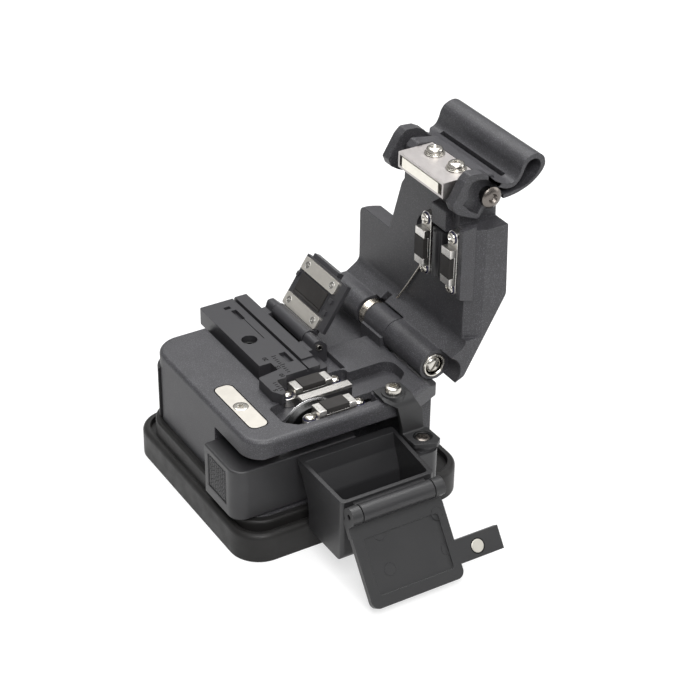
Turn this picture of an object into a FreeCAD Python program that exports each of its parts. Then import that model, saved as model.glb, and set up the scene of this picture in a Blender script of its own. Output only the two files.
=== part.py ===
import FreeCAD, Part
import math
import os
import Sketcher

# Fibre cleaver, millimetres. X runs right towards the lid hinge, Y runs back along the fibre, Z is up.
# The origin is the centre of the rubber skirt's footprint on the surface that the cleaver stands on.

DIMENSIONS = {
    # rubber skirt and bottom plate
    "skirt_width": 72.0,
    "skirt_depth": 70.0,
    "skirt_top": 8.9,
    "skirt_corner": 9.0,
    "skirt_wall": 2.2,
    "skirt_round": 1.6,
    "groove_floor": 7.0,
    "ridge_offset": 2.0,
    "ridge_top": 14.2,
    "ridge_front_top": 10.8,
    "ridge_round": 0.7,
    "plate_low": 0.6,
    "plate_thick": 1.4,
    "plate_inset": 3.0,
    # cast body and deck
    "body_left": -31.9,
    "body_right": 29.6,
    "body_rear": 29.0,
    "foot_front": -29.4,
    "foot_top": 11.2,
    "deck_front": -31.5,
    "deck_top": 37.0,
    "deck_thick": 5.7,
    "deck_round": 1.4,
    "deck_corner": 7.0,
    "rear_corner": 8.0,
    "deck_chamfer_long": 10.1,
    "deck_chamfer_short": 4.3,
    "slot_rear": -10.4,
    "slot_right": 20.6,
    "wall_front": -26.0,
    "ledge_drop": 3.2,
    "ledge_front": 1.2,
    "ledge_left": 9.8,
    # fibre adapter
    "adapter_left": -13.2,
    "adapter_right": 2.1,
    "adapter_rear": 34.0,
    "adapter_front": -9.9,
    "adapter_top": 40.3,
    "channel_depth": 1.8,
    "rib_left": -1.8,
    "rib_rise": 0.6,
    "hook_left": -16.4,
    "hook_front": -17.6,
    "groove_width": 0.5,
    "groove_depth": 0.9,
    "adapter_screw_x": -8.9,
    "adapter_screw_y": 11.5,
    "counterbore_radius": 2.3,
    # fibre clamp
    "clamp_axis_x": 6.0,
    "clamp_axis_z": 40.5,
    "clamp_reach": 18.5,
    "clamp_rear": 23.0,
    "clamp_front": 0.8,
    "clamp_barrel": 2.35,
    "clamp_plate": 1.3,
    "clamp_open": 123.0,
    "lug_rear_front": 21.2,
    "lug_rear_back": 25.0,
    "lug_front_front": -2.2,
    "lug_front_back": 3.4,
    "lug_gap": 0.25,
    "strip_thick": 0.6,
    "strip_width": 3.9,
    "strip_rest": 0.15,
    "near_strip_reach": 2.5,
    "far_strip_reach": 14.0,
    "pin_radius": 1.0,
    "pin_bore": 0.55,
    # pads that grip the fibre
    "pad_top": 38.8,
    "pad_left": -6.9,
    "pad_right": 0.3,
    "bracket_left": -9.2,
    "bracket_right": 2.6,
    "bracket_end": 3.6,
    "bracket_deep": 4.4,
    "rear_pad_y": -13.3,
    "front_pad_y": -26.2,
    "pad_proud": 0.3,
    "pad_gap": 0.25,
    "lug_drop": 2.6,
    # blade and slider
    "blade_x": -8.0,
    "blade_y": -21.1,
    "blade_top": 38.6,
    "blade_radius": 9.5,
    "blade_thick": 0.6,
    "hub_radius": 7.9,
    "slider_left": -35.7,
    "slider_front": -28.8,
    "slider_rear": -10.8,
    "slider_low": 11.7,
    "slider_top": 27.5,
    "slider_long": 38.0,
    "slider_corner": 4.2,
    "slider_leg": 4.0,
    "slider_grip": 11.0,
    "slider_travel": 16.0,
    # keeper plate
    "keeper_x": -24.9,
    "keeper_y": -12.7,
    "keeper_wide": 5.4,
    "keeper_long": 22.6,
    "keeper_thick": 1.5,
    # main lid
    "hinge_x": 29.4,
    "hinge_z": 40.0,
    "barrel_radius": 4.6,
    "barrel_front": -25.4,
    "body_barrel_front": -6.0,
    "body_barrel_rear": 4.4,
    "spring_room": 4.2,
    "lid_rear": 24.8,
    "hinge_gap": 0.3,
    "hinge_pin": 2.0,
    "running_fit": 0.03,
    "sweep_gap": 0.6,
    "lid_front": -31.3,
    "arm_face": 35.6,
    "arm_rear": 8.8,
    "arm_top": 96.5,
    "wing_top": 65.6,
    "wing_thick": 7.6,
    "lid_close": 94.0,
    # magnet holder on the lid tip
    "magnet_face": 30.4,
    "magnet_z": 93.4,
    "magnet_high": 3.0,
    "holder_long": 22.0,
    "holder_y": -13.3,
    "holder_high": 4.6,
    "holder_deep": 11.0,
    "holder_wall": 0.7,
    # release handle
    "pivot_x": 43.2,
    "pivot_z": 91.0,
    "ear_thick": 2.8,
    "ear_front": -28.4,
    "ear_rear": 5.0,
    "handle_wall": 1.6,
    "curl_x": 59.4,
    "curl_z": 92.6,
    "curl_radius": 4.9,
    "valley_x": 50.4,
    "valley_z": 91.0,
    # scrap box, its arm and its lid
    "box_left": -16.9,
    "box_right": 13.6,
    "box_taper": 1.8,
    "box_rear": -29.2,
    "box_toe": -35.9,
    "box_front": -53.3,
    "box_low": 7.6,
    "box_rim": 27.1,
    "box_wall": 1.2,
    "flap_axis_y": -56.7,
    "flap_axis_z": 25.0,
    "flap_barrel": 2.6,
    "flap_knuckle": 3.0,
    "flap_long": 25.8,
    "flap_thick": 1.9,
    "flap_open": 234.0,
    "flap_tab": 15.0,
    "striker_x": 18.4,
    "striker_y": -37.6,
    "arm_screw_x": 13.4,
    "arm_screw_y": -29.6,
}


class Size:
    """A length that keeps both its value and the spreadsheet expression it comes from."""

    def __init__(self, value, text):
        self.value = value
        self.text = text

    def combine(self, sign, other, value):
        return Size(value, "(" + self.text + " " + sign + " " + other.text + ")")

    def __add__(self, other):
        other = sized(other)
        return self.combine("+", other, self.value + other.value)

    def __sub__(self, other):
        other = sized(other)
        return self.combine("-", other, self.value - other.value)

    def __mul__(self, other):
        other = sized(other)
        return self.combine("*", other, self.value * other.value)

    def __truediv__(self, other):
        other = sized(other)
        return self.combine("/", other, self.value / other.value)

    def __radd__(self, other):
        return sized(other) + self

    def __rsub__(self, other):
        return sized(other) - self

    def __neg__(self):
        return sized(0.0) - self


def sized(amount):
    """Any number or Size as a Size."""
    if isinstance(amount, Size):
        return amount
    return Size(float(amount), repr(float(amount)))


class Dimensions:
    """Every driving dimension by name."""


def read_dimensions(sheet):
    """Write the driving dimensions into the sheet and return them by name."""
    named = Dimensions()
    for row, (name, value) in enumerate(DIMENSIONS.items(), start=1):
        sheet.set("A%d" % row, name)
        sheet.set("B%d" % row, repr(value))
        sheet.setAlias("B%d" % row, name)
        setattr(named, name, Size(value, "Dims." + name))
    return named


doc = FreeCAD.newDocument("fibre_cleaver")
sheet = doc.addObject("Spreadsheet::Sheet", "Dims")
d = read_dimensions(sheet)
doc.recompute()

AXES = {"x": FreeCAD.Vector(1, 0, 0), "y": FreeCAD.Vector(0, 1, 0), "z": FreeCAD.Vector(0, 0, 1)}
# which two axes a sketch spans when its normal lies along the named axis
SPANS = {"x": "yz", "y": "xz", "z": "xy"}
parts = []


def bind(item, prop, amount):
    """Tie a property to a size."""
    item.setExpression(prop, sized(amount).text)


def block(x, y, z):
    """A block between two limits on each axis."""
    item = doc.addObject("Part::Box", "Block")
    for prop, axis, (low, high) in zip(("Length", "Width", "Height"), "xyz", (x, y, z)):
        bind(item, prop, sized(high) - low)
        bind(item, "Placement.Base." + axis, low)
    return item


def along(axis):
    """The rotation that lays a cylinder or cone, drawn up Z, along an axis."""
    return FreeCAD.Rotation(AXES["z"], AXES[axis])


def rod(axis, centre, span, radius):
    """A cylinder along an axis, between two limits."""
    item = doc.addObject("Part::Cylinder", "Rod")
    item.Placement = FreeCAD.Placement(FreeCAD.Vector(), along(axis))
    bind(item, "Radius", radius)
    bind(item, "Height", sized(span[1]) - span[0])
    for name, amount in zip(SPANS[axis], centre):
        bind(item, "Placement.Base." + name, amount)
    bind(item, "Placement.Base." + axis, span[0])
    return item


def taper(axis, centre, span, low_radius, high_radius):
    """A cone along an axis, for countersinks and screw heads."""
    item = doc.addObject("Part::Cone", "Taper")
    item.Placement = FreeCAD.Placement(FreeCAD.Vector(), along(axis))
    bind(item, "Radius1", low_radius)
    bind(item, "Radius2", high_radius)
    bind(item, "Height", sized(span[1]) - span[0])
    for name, amount in zip(SPANS[axis], centre):
        bind(item, "Placement.Base." + name, amount)
    bind(item, "Placement.Base." + axis, span[0])
    return item


def joined(*items):
    """Several shapes as one solid."""
    item = doc.addObject("Part::MultiFuse", "Joined")
    item.Shapes = list(items)
    item.Refine = True
    return item


def group(*items):
    """Separate solids of one kind that share a node."""
    item = doc.addObject("Part::Compound", "Group")
    item.Links = list(items)
    return item


def without(base, *tools):
    """A shape with others cut from it."""
    item = doc.addObject("Part::Cut", "Without")
    item.Base = base
    item.Tool = tools[0] if len(tools) == 1 else joined(*tools)
    item.Refine = True
    return item


def shared(*items):
    """The volume that several shapes have in common."""
    item = doc.addObject("Part::MultiCommon", "Shared")
    item.Shapes = list(items)
    item.Refine = True
    return item


def rounded(base, radius, chosen):
    """A shape with the chosen edges rounded."""
    doc.recompute()
    item = doc.addObject("Part::Fillet", "Rounded")
    item.Base = base
    reach = sized(radius).value
    edges = enumerate(base.Shape.Edges, start=1)
    item.Edges = [(number, reach, reach) for number, edge in edges if chosen(edge)]
    return item


def is_along(edge, axis):
    """Whether a straight edge runs along an axis."""
    if edge.Curve.TypeId != "Part::GeomLine":
        return False
    return edge.tangentAt(edge.FirstParameter).cross(AXES[axis]).Length < 1e-6


def edge_at(axis, corners):
    """A chooser of the edges along an axis that pass through any of the corners."""
    def chosen(edge):
        if not is_along(edge, axis):
            return False
        middle = edge.CenterOfMass
        place = [getattr(middle, name) for name in SPANS[axis]]
        return any(math.dist(place, corner) < 0.02 for corner in corners)
    return chosen


def edge_near(place):
    """A chooser of the edges whose middle lies close to a place."""
    spot = FreeCAD.Vector(*[sized(amount).value for amount in place])
    def chosen(edge):
        return edge.CenterOfMass.distanceToPoint(spot) < 0.6
    return chosen


def level_at(height):
    """A chooser of the edges that lie wholly at one height."""
    def chosen(edge):
        box = edge.BoundBox
        return abs(box.ZMin - height.value) < 1e-4 and abs(box.ZMax - height.value) < 1e-4
    return chosen


def prism(axis, points, span):
    """A sketched outline pulled along an axis. A third number in a point rounds that corner."""
    sketch = doc.addObject("Sketcher::SketchObject", "Outline")
    first, second = SPANS[axis]
    normal = AXES[first].cross(AXES[second])
    turn = FreeCAD.Rotation(AXES[first], AXES[second], normal)
    sketch.Placement = FreeCAD.Placement(FreeCAD.Vector(), turn)
    corners = [[sized(amount) for amount in point] for point in points]
    flat = [FreeCAD.Vector(corner[0].value, corner[1].value, 0) for corner in corners]
    for number, start in enumerate(flat):
        sketch.addGeometry(Part.LineSegment(start, flat[(number + 1) % len(flat)]))
    for number, corner in enumerate(corners):
        after = (number + 1) % len(corners)
        sketch.addConstraint(Sketcher.Constraint("Coincident", number, 2, after, 1))
        for kind, amount in (("DistanceX", corner[0]), ("DistanceY", corner[1])):
            made = sketch.addConstraint(Sketcher.Constraint(kind, number, 1, amount.value))
            sketch.setExpression("Constraints[%d]" % made, amount.text)
    bind(sketch, "Placement.Base." + axis, span[0])
    item = doc.addObject("Part::Extrusion", "Prism")
    item.Base = sketch
    item.DirMode = "Custom"
    item.Dir = AXES[axis]
    item.Solid = True
    bind(item, "LengthFwd", sized(span[1]) - span[0])
    for radius in sorted({corner[2].value for corner in corners if len(corner) > 2}):
        places = [(c[0].value, c[1].value) for c in corners if len(c) > 2 and c[2].value == radius]
        item = rounded(item, radius, edge_at(axis, places))
    return item


def plate(x, y, z, corner):
    """A rounded rectangle seen from above, pulled up between two heights."""
    points = [(x[0], y[0], corner), (x[1], y[0], corner), (x[1], y[1], corner), (x[0], y[1], corner)]
    return prism("z", points, z)


def part(name, item):
    """Name a finished sub-part."""
    item.Label = name
    parts.append(item)
    return item


def swing(item, axis, centre, angle):
    """Turn a sub-part, drawn shut, about its hinge to where it rests."""
    doc.recompute()
    place = FreeCAD.Vector(*[sized(amount).value for amount in centre])
    item.Placement = FreeCAD.Placement(FreeCAD.Vector(), FreeCAD.Rotation(AXES[axis], angle.value), place)
    return item


# --- rubber skirt and bottom plate -------------------------------------------------------------

half_width = d.skirt_width / 2
half_depth = d.skirt_depth / 2
deck_low = d.deck_top - d.deck_thick


def body_outline(front, grow, low, high):
    """The plan of the casting, grown all round, between two heights."""
    corner = d.rear_corner + grow
    points = [
        (d.body_left - grow, front, d.deck_corner + grow),
        (d.body_right + grow, front, d.deck_corner + grow),
        (d.body_right + grow, d.body_rear + grow, corner),
        (d.body_left - grow, d.body_rear + grow, corner),
    ]
    return prism("z", points, (low, high))


def base_skirt():
    """A rubber boot with a rolled outer wall, a groove and a ridge that hugs the casting."""
    outer = plate((-half_width, half_width), (-half_depth, half_depth), (0, d.skirt_top), d.skirt_corner)
    outer = rounded(outer, d.skirt_round, level_at(d.skirt_top))
    inner_corner = d.skirt_corner - d.skirt_wall
    channel = plate(
        (-half_width + d.skirt_wall, half_width - d.skirt_wall),
        (-half_depth + d.skirt_wall, half_depth - d.skirt_wall),
        (d.groove_floor, d.skirt_top + 1),
        inner_corner,
    )
    grow = d.ridge_offset
    front_ridge = body_outline(d.foot_front - grow, grow, d.plate_low, d.ridge_front_top)
    front_ridge = rounded(front_ridge, d.ridge_round, level_at(d.ridge_front_top))
    high_ridge = body_outline(d.foot_front - grow, grow, d.plate_low, d.ridge_top)
    high_ridge = rounded(high_ridge, d.ridge_round, level_at(d.ridge_top))
    high_ridge = without(high_ridge, block((-half_width, half_width), (-half_depth, d.slot_rear), (0, d.deck_top)))
    seat = body_outline(d.foot_front, sized(0), d.plate_low, d.deck_top)
    opening = plate(
        (d.body_left + d.plate_inset, d.body_right - d.plate_inset),
        (d.foot_front + d.plate_inset, d.body_rear - d.plate_inset),
        (-1, d.plate_low + 1),
        d.deck_corner - d.plate_inset,
    )
    boot = joined(without(outer, channel), front_ridge, high_ridge)
    return part("base_skirt", without(boot, seat, opening))


plate_screw_inset = sized(6.5)
plate_screw_places = [
    (d.body_left + plate_screw_inset, d.foot_front + plate_screw_inset),
    (d.body_right - plate_screw_inset, d.foot_front + plate_screw_inset),
    (d.body_right - plate_screw_inset, d.body_rear - plate_screw_inset),
    (d.body_left + plate_screw_inset, d.body_rear - plate_screw_inset),
]
plate_top = d.plate_low + d.plate_thick
plate_hole = sized(1.6)
plate_head = sized(2.6)
plate_head_deep = sized(0.7)


def base_plate():
    """A steel plate under the casting, let into the boot, with four screw holes."""
    sheet_metal = body_outline(d.foot_front, sized(0), d.plate_low, plate_top)
    holes = []
    for place in plate_screw_places:
        holes.append(rod("z", place, (d.plate_low - 1, plate_top + 1), plate_hole))
        holes.append(rod("z", place, (d.plate_low - 1, d.plate_low + plate_head_deep), plate_head + 0.1))
    return part("base_plate", without(sheet_metal, *holes))


def base_plate_screws():
    """Four pan-head screws, each with a cross slot, up into the casting."""
    screws = []
    for x, y in plate_screw_places:
        head = rod("z", (x, y), (d.plate_low, d.plate_low + plate_head_deep), plate_head)
        shank = rod("z", (x, y), (d.plate_low + plate_head_deep, plate_top + 4), plate_hole - 0.1)
        screws.append(joined(head, shank))
    return part("base_plate_screws", group(*screws))


base_skirt()
base_plate()
base_plate_screws()

# --- cast body -----------------------------------------------------------------------------------

barrel_web = sized(5.5)
channel_floor = d.deck_top - d.channel_depth
channel_left = d.adapter_left - 1.2
channel_front = d.adapter_front - 0.3
ear_left = d.bracket_left - d.bracket_end
ear_right = d.bracket_right + d.bracket_end
half_bracket = d.bracket_deep / 2
pocket_gap = sized(0.3)
pocket_left = sized(-18.8)
pocket_front = d.front_pad_y - half_bracket - pocket_gap
pocket_step = sized(-24.6)
pocket_right = sized(23.0)
pocket_rear = sized(-12.8)
pocket_mid = ear_right + 3.0
pocket_floor = d.deck_top - 3.4
window_front = d.front_pad_y + half_bracket + 0.1
window_rear = sized(-20.0)
window_end = sized(18.6)
blade_z = d.blade_top - d.blade_radius
blade_front = d.blade_y - d.blade_thick / 2
blade_rear = d.blade_y + d.blade_thick / 2
axle_radius = sized(1.5)
axle_wall = sized(0.4)
carrier_half = sized(3.2)
carrier_front = blade_rear + 0.5
carrier_rear = blade_rear + 3
carrier_top = blade_z + axle_radius + axle_wall
carrier_room = sized(0.6)
keeper_gap = sized(0.15)
keeper_corner = sized(1.4)
sweep_radius = d.barrel_radius + d.sweep_gap


def keeper_span(grow):
    """The keeper's limits on X and on Y."""
    half_wide = d.keeper_wide / 2 + grow
    half_long = d.keeper_long / 2 + grow
    return (d.keeper_x - half_wide, d.keeper_x + half_wide), (d.keeper_y - half_long, d.keeper_y + half_long)


bracket_foot_top = d.pad_top - d.lug_drop
ear_screw = sized(1.6)
ear_shank = sized(0.8)


def ear_places(y):
    """The two screws of a bracket, one in the middle of each ear."""
    inset = d.bracket_end / 2
    return [(ear_left + inset, y), (ear_right - inset, y)]


def deck_pocket():
    """The well in the deck that holds the lower pads, with a window that the blade runs through."""
    points = [
        (pocket_left, pocket_step - 0.6, 1.6),
        (pocket_left + 3.6, pocket_front, 0.8),
        (pocket_mid, pocket_front, 0.8),
        (pocket_mid, pocket_step, 0.8),
        (pocket_right - 3.2, pocket_step + 1.0, 3.0),
        (pocket_right, pocket_step + 4.0, 3.0),
        (pocket_right, pocket_rear, 3.4),
        (pocket_mid, pocket_rear, 0.8),
        (pocket_mid, channel_front - 0.2, 1.4),
        (ear_left - pocket_gap, channel_front - 0.2, 0.8),
        (ear_left - pocket_gap, -16.4, 0.8),
        (pocket_left, -17.4, 1.6),
    ]
    well = prism("z", points, (pocket_floor, d.deck_top + 1))
    window = block((pocket_left, window_end), (window_front, window_rear), (deck_low - 1, d.deck_top))
    return joined(well, window)


def main_body():
    """The casting: a block with a slot for the slider, an overhanging deck and the middle hinge barrel."""
    points = [
        (d.body_left, d.deck_front, d.deck_corner),
        (d.body_right - d.deck_chamfer_long, d.deck_front, 1.5),
        (d.body_right, d.deck_front + d.deck_chamfer_short, 1.5),
        (d.body_right, d.body_rear, d.rear_corner),
        (d.body_left, d.body_rear, d.rear_corner),
    ]
    deck = rounded(prism("z", points, (deck_low, d.deck_top)), d.deck_round, level_at(d.deck_top))
    lower = body_outline(d.foot_front, sized(0), plate_top, deck_low)
    slot = block((d.body_left - 1, d.slot_right), (d.deck_front - 1, d.slot_rear), (d.foot_top, deck_low))
    shoulder = block((d.slot_right - 1, d.body_right + 1), (d.deck_front - 1, d.wall_front), (d.foot_top, deck_low))
    eave = prism("x", [
        (d.deck_front - 1, deck_low - 1),
        (d.deck_front + 0.6, deck_low - 1),
        (d.deck_front + 0.6, deck_low),
        (d.deck_front, deck_low + 0.6),
        (d.deck_front - 1, deck_low + 0.6),
    ], (d.body_left - 1, d.body_right + 1))
    casting = joined(without(lower, slot, shoulder), without(deck, eave))
    keeper_x, keeper_y = keeper_span(keeper_gap)
    recess = plate(keeper_x, keeper_y, (d.deck_top - d.keeper_thick, d.deck_top + 1), keeper_corner + keeper_gap)
    channel = block((channel_left, d.ledge_left), (channel_front, d.body_rear + 1), (channel_floor, d.deck_top + 1))
    ledge = block(
        (d.ledge_left - 0.5, d.body_right + 1),
        (d.ledge_front, d.body_rear + 1),
        (d.deck_top - d.ledge_drop, d.deck_top + 1),
    )
    barrel_centre = (d.hinge_x, d.hinge_z)
    sweeps = [
        rod("y", barrel_centre, (d.deck_front - 1, d.body_barrel_front), sweep_radius),
        rod("y", barrel_centre, (d.body_barrel_rear, d.body_rear + 1), sweep_radius),
    ]
    relief = block(
        (d.blade_x - carrier_half - carrier_room, d.blade_x + carrier_half + d.slider_travel + carrier_room),
        (carrier_front - carrier_room, carrier_rear + carrier_room),
        (deck_low - 1, carrier_top + carrier_room),
    )
    casting = without(casting, deck_pocket(), recess, channel, ledge, relief, *sweeps)
    barrel_span = (d.body_barrel_front, d.body_barrel_rear)
    barrel = rod("y", barrel_centre, barrel_span, d.barrel_radius)
    web_left = d.hinge_x - barrel_web
    web = block((web_left, d.body_right), barrel_span, (deck_low, d.hinge_z))
    casting = joined(casting, barrel, web)
    holes = [rod("y", barrel_centre, (d.body_barrel_front - 1, d.body_barrel_rear + 1), d.hinge_pin + d.running_fit)]
    holes.append(rod("z", (d.keeper_x, d.keeper_y), (d.deck_top - 5.5, d.deck_top), 0.9 + d.running_fit))
    holes.append(rod("z", (d.adapter_screw_x, d.adapter_screw_y), (channel_floor - 5, channel_floor + 1), 1.05 + d.running_fit))
    holes.append(rod("z", (d.arm_screw_x, d.arm_screw_y), (d.deck_top - 5, d.deck_top + 1), 1.3 + d.running_fit))
    for place in plate_screw_places:
        holes.append(rod("z", place, (plate_top - 1, plate_top + 4), plate_hole - 0.1 + d.running_fit))
    for y in (d.rear_pad_y, d.front_pad_y):
        for place in ear_places(y):
            holes.append(rod("z", place, (deck_low - 1, pocket_floor + 1), ear_shank + d.running_fit))
    return part("main_body", without(casting, *holes))


def keeper_plate():
    """The steel strip that the lid's magnet holds, flush in the deck."""
    span_x, span_y = keeper_span(sized(0))
    strip = plate(span_x, span_y, (d.deck_top - d.keeper_thick, d.deck_top), keeper_corner)
    sink = taper("z", (d.keeper_x, d.keeper_y), (d.deck_top - 1.2, d.deck_top), 0.9, 2.2)
    hole = rod("z", (d.keeper_x, d.keeper_y), (d.deck_top - d.keeper_thick - 1, d.deck_top), 0.95)
    return part("keeper_plate", without(strip, joined(sink, hole)))


def cross_slot(x, y, top, arm, deep):
    """A cross cut into a screw head."""
    half = arm / 2
    thin = arm / 8
    return [
        block((x - half, x + half), (y - thin, y + thin), (top - deep, top + 1)),
        block((x - thin, x + thin), (y - half, y + half), (top - deep, top + 1)),
    ]


def keeper_screw():
    """A countersunk cross-head screw through the keeper."""
    place = (d.keeper_x, d.keeper_y)
    head = taper("z", place, (d.deck_top - 1.2, d.deck_top), 0.9, 2.2)
    shank = rod("z", place, (d.deck_top - 5.4, d.deck_top - 1.2), 0.9)
    cross = cross_slot(d.keeper_x, d.keeper_y, d.deck_top, sized(2.2), sized(0.6))
    return part("keeper_screw", without(joined(head, shank), *cross))


cover_thick = sized(0.8)
cover_low = sized(15.0)
cover_high = sized(31.5)
cover_front = sized(23.4)


def rear_cover():
    """A thin cover that wraps the back of the casting and both its rear corners."""
    skin = body_outline(d.foot_front, cover_thick, cover_low, cover_high)
    inside = body_outline(d.foot_front - 3, sized(0), cover_low - 1, cover_high + 1)
    forward = block((-half_width, half_width), (-half_depth, cover_front), (0, d.deck_top))
    return part("rear_cover", without(skin, inside, forward))


main_body()
keeper_plate()
keeper_screw()
rear_cover()

# --- fibre adapter ---------------------------------------------------------------------------------

hook_low = d.deck_top + 0.05
clamp_centre = (d.clamp_axis_x, 0, d.clamp_axis_z)
strip_face = d.adapter_top + d.rib_rise + d.strip_rest
clamp_low = strip_face + d.strip_thick
clamp_high = clamp_low + d.clamp_plate
near_left = d.clamp_axis_x - d.near_strip_reach - d.strip_width
near_right = d.clamp_axis_x - d.near_strip_reach
far_left = d.clamp_axis_x - d.far_strip_reach - d.strip_width
far_right = d.clamp_axis_x - d.far_strip_reach
strip_rear = d.clamp_rear - 0.6
strip_front = d.clamp_front + 3.4
barrel_front = d.lug_front_back + d.lug_gap
barrel_rear = d.lug_rear_front - d.lug_gap
clamp_tip = d.clamp_axis_x - d.clamp_reach
fibre_x = d.rib_left - 0.2


def adapter_plate():
    """The guide that carries the fibre: a grooved rail, a hook round the rear pad and two hinge lugs."""
    rail = prism("z", [
        (d.adapter_left, d.adapter_rear, 0.6),
        (d.adapter_left, -2.1),
        (-9.6, -2.1),
        (-9.6, d.adapter_front),
        (d.adapter_right, d.adapter_front, 0.6),
        (d.adapter_right, d.adapter_rear, 0.6),
    ], (channel_floor, d.adapter_top))
    hook = prism("z", [
        (-9.4, -6.2),
        (d.hook_left, -7.2, 0.8),
        (d.hook_left, d.hook_front + 2.6),
        (d.hook_left + 1.6, d.hook_front, 0.6),
        (-13.4, d.hook_front, 0.5),
        (-12.7, -14.4),
        (-12.7, -10.7, 0.8),
        (-9.4, -10.7),
    ], (hook_low, d.adapter_top))
    rib = block((d.rib_left, d.adapter_right), (-5.5, d.adapter_rear - 0.5), (d.adapter_top - 1, d.adapter_top + d.rib_rise))
    lug_right = d.clamp_axis_x + 0.4
    lug_points = [
        (d.adapter_right - 1, channel_floor),
        (d.clamp_axis_x + 2.6, channel_floor),
        (d.clamp_axis_x + 2.6, d.clamp_axis_z),
        (lug_right, d.clamp_axis_z + 2.1, 1.2),
        (d.clamp_axis_x - 1.5, d.clamp_axis_z + 2.1, 1.0),
        (near_right + 0.3, d.adapter_top + 0.1),
        (d.adapter_right - 1, d.adapter_top - 0.1),
    ]
    lugs = [
        prism("y", lug_points, (d.lug_rear_front, d.lug_rear_back)),
        prism("y", lug_points, (d.lug_front_front, d.lug_front_back)),
    ]
    floor = block(
        (d.adapter_right - 1, d.clamp_axis_x + 2.6),
        (d.lug_front_back - 0.5, d.lug_rear_front + 0.5),
        (channel_floor, d.clamp_axis_z - d.clamp_barrel - 0.4),
    )
    boss = plate((d.adapter_right - 2, d.adapter_right + 3.4), (-8.4, -1), (channel_floor, d.adapter_top - 2.6), sized(1.2))
    rail = joined(rail, hook, rib, floor, boss, *lugs)
    top = d.adapter_top
    half_groove = d.groove_width / 2
    cuts = [block((fibre_x - half_groove, fibre_x + half_groove), (-20, 40), (top - d.groove_depth, top + 2))]
    cuts.append(block((-7.2, -5.2), (29.2, 30.6), (top - 1.2, top + 1)))
    cuts.append(block((-6.0, -4.4), (22.2, 28.0), (top - 1.2, top + 1)))
    cuts.append(block((-5.0, -4.8), (10.0, 22.4), (top - 0.5, top + 1)))
    cuts.append(block((-5.4, -3.4), (-4.4, 1.0), (top - 1.2, top + 1)))
    cuts.append(rod("z", (d.adapter_screw_x, d.adapter_screw_y), (channel_floor - 1, top + 1), 1.2))
    cuts.append(rod("z", (d.adapter_screw_x, d.adapter_screw_y), (top - 3.2, top + 1), d.counterbore_radius))
    pin_centre = (d.clamp_axis_x, d.clamp_axis_z)
    cuts.append(rod("y", pin_centre, (d.lug_front_front - 1, d.lug_rear_back - 1.2), d.pin_radius + 0.01))
    return part("adapter_plate", without(rail, *cuts))


def adapter_screw():
    """The cap screw at the bottom of the adapter's counterbore."""
    place = (d.adapter_screw_x, d.adapter_screw_y)
    seat = d.adapter_top - 3.2
    head = rod("z", place, (seat, seat + 1.6), d.counterbore_radius - 0.35)
    shank = rod("z", place, (channel_floor - 4.8, seat), 1.05)
    socket = rod("z", place, (seat + 0.6, seat + 2), 0.9)
    return part("adapter_screw", without(joined(head, shank), socket))


adapter_plate()
adapter_screw()

# --- fibre clamp, drawn shut over the adapter and then swung open ----------------------------------

def clamp_lid():
    """The lid that presses the fibre into its groove, with a barrel between the adapter's lugs."""
    leaf = block((clamp_tip, d.clamp_axis_x - 1.2), (d.clamp_front, d.clamp_rear), (clamp_low, clamp_high))
    neck = block((d.clamp_axis_x - 2.4, d.clamp_axis_x), (barrel_front, barrel_rear), (d.clamp_axis_z - 0.5, clamp_high))
    barrel = rod("y", (d.clamp_axis_x, d.clamp_axis_z), (barrel_front, barrel_rear), d.clamp_barrel)
    pad_bed = block((far_right + 0.3, near_left - 0.3), (strip_front + 1.6, strip_rear - 1.4), (strip_face + 0.45, clamp_low + 0.2))
    lip = block((clamp_tip - 1.3, clamp_tip + 0.8), (7.6, 21.0), (clamp_low + 0.4, clamp_high + 1.2))
    teeth = [
        block((far_right + 1.2, far_right + 2.6), (strip_front - 0.9, strip_front + 0.6), (strip_face + 0.1, clamp_low + 0.2)),
        block((near_left - 2.6, near_left - 1.2), (strip_front - 0.9, strip_front + 0.6), (strip_face + 0.1, clamp_low + 0.2)),
        block((far_right + 1.2, far_right + 2.6), (strip_rear - 0.6, strip_rear + 0.5), (strip_face + 0.1, clamp_low + 0.2)),
    ]
    room = [
        block((d.clamp_axis_x - 3.2, d.clamp_axis_x), (d.clamp_front - 1, barrel_front), (0, 60)),
        block((d.clamp_axis_x - 3.2, d.clamp_axis_x), (barrel_rear, d.clamp_rear + 1), (0, 60)),
    ]
    shape = joined(without(leaf, *room), neck, barrel, pad_bed, lip, *teeth)
    bore = rod("y", (d.clamp_axis_x, d.clamp_axis_z), (barrel_front - 1, barrel_rear + 1), d.pin_radius + d.running_fit)
    holes = [rod("z", place, (strip_face, clamp_high - 0.3), 0.6) for place in clamp_screw_places()]
    return part("clamp_lid", swing(without(shape, bore, *holes), "y", clamp_centre, d.clamp_open))


def clamp_screw_places():
    """Two screws near the ends of each strip."""
    places = []
    for left, right in ((near_left, near_right), (far_left, far_right)):
        middle = (left + right) / 2
        places.append((middle, strip_front + 2.4))
        places.append((middle, strip_rear - 2.4))
    return places


def clamp_strip(name, left, right):
    """A nickel strip with rounded corners and two countersunk holes."""
    strip = plate((left, right), (strip_front, strip_rear), (strip_face, clamp_low), sized(0.7))
    holes = []
    for place in clamp_screw_places():
        if left.value < place[0].value < right.value:
            holes.append(rod("z", place, (strip_face - 1, clamp_low + 1), 1.0))
    return part(name, swing(without(strip, *holes), "y", clamp_centre, d.clamp_open))


def clamp_screws():
    """Four small screws flush with the strips."""
    screws = []
    for place in clamp_screw_places():
        head = rod("z", place, (strip_face, clamp_low), 0.95)
        shank = rod("z", place, (clamp_low, clamp_high - 0.35), 0.55)
        screws.append(joined(head, shank))
    return part("clamp_screws", swing(group(*screws), "y", clamp_centre, d.clamp_open))


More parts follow.
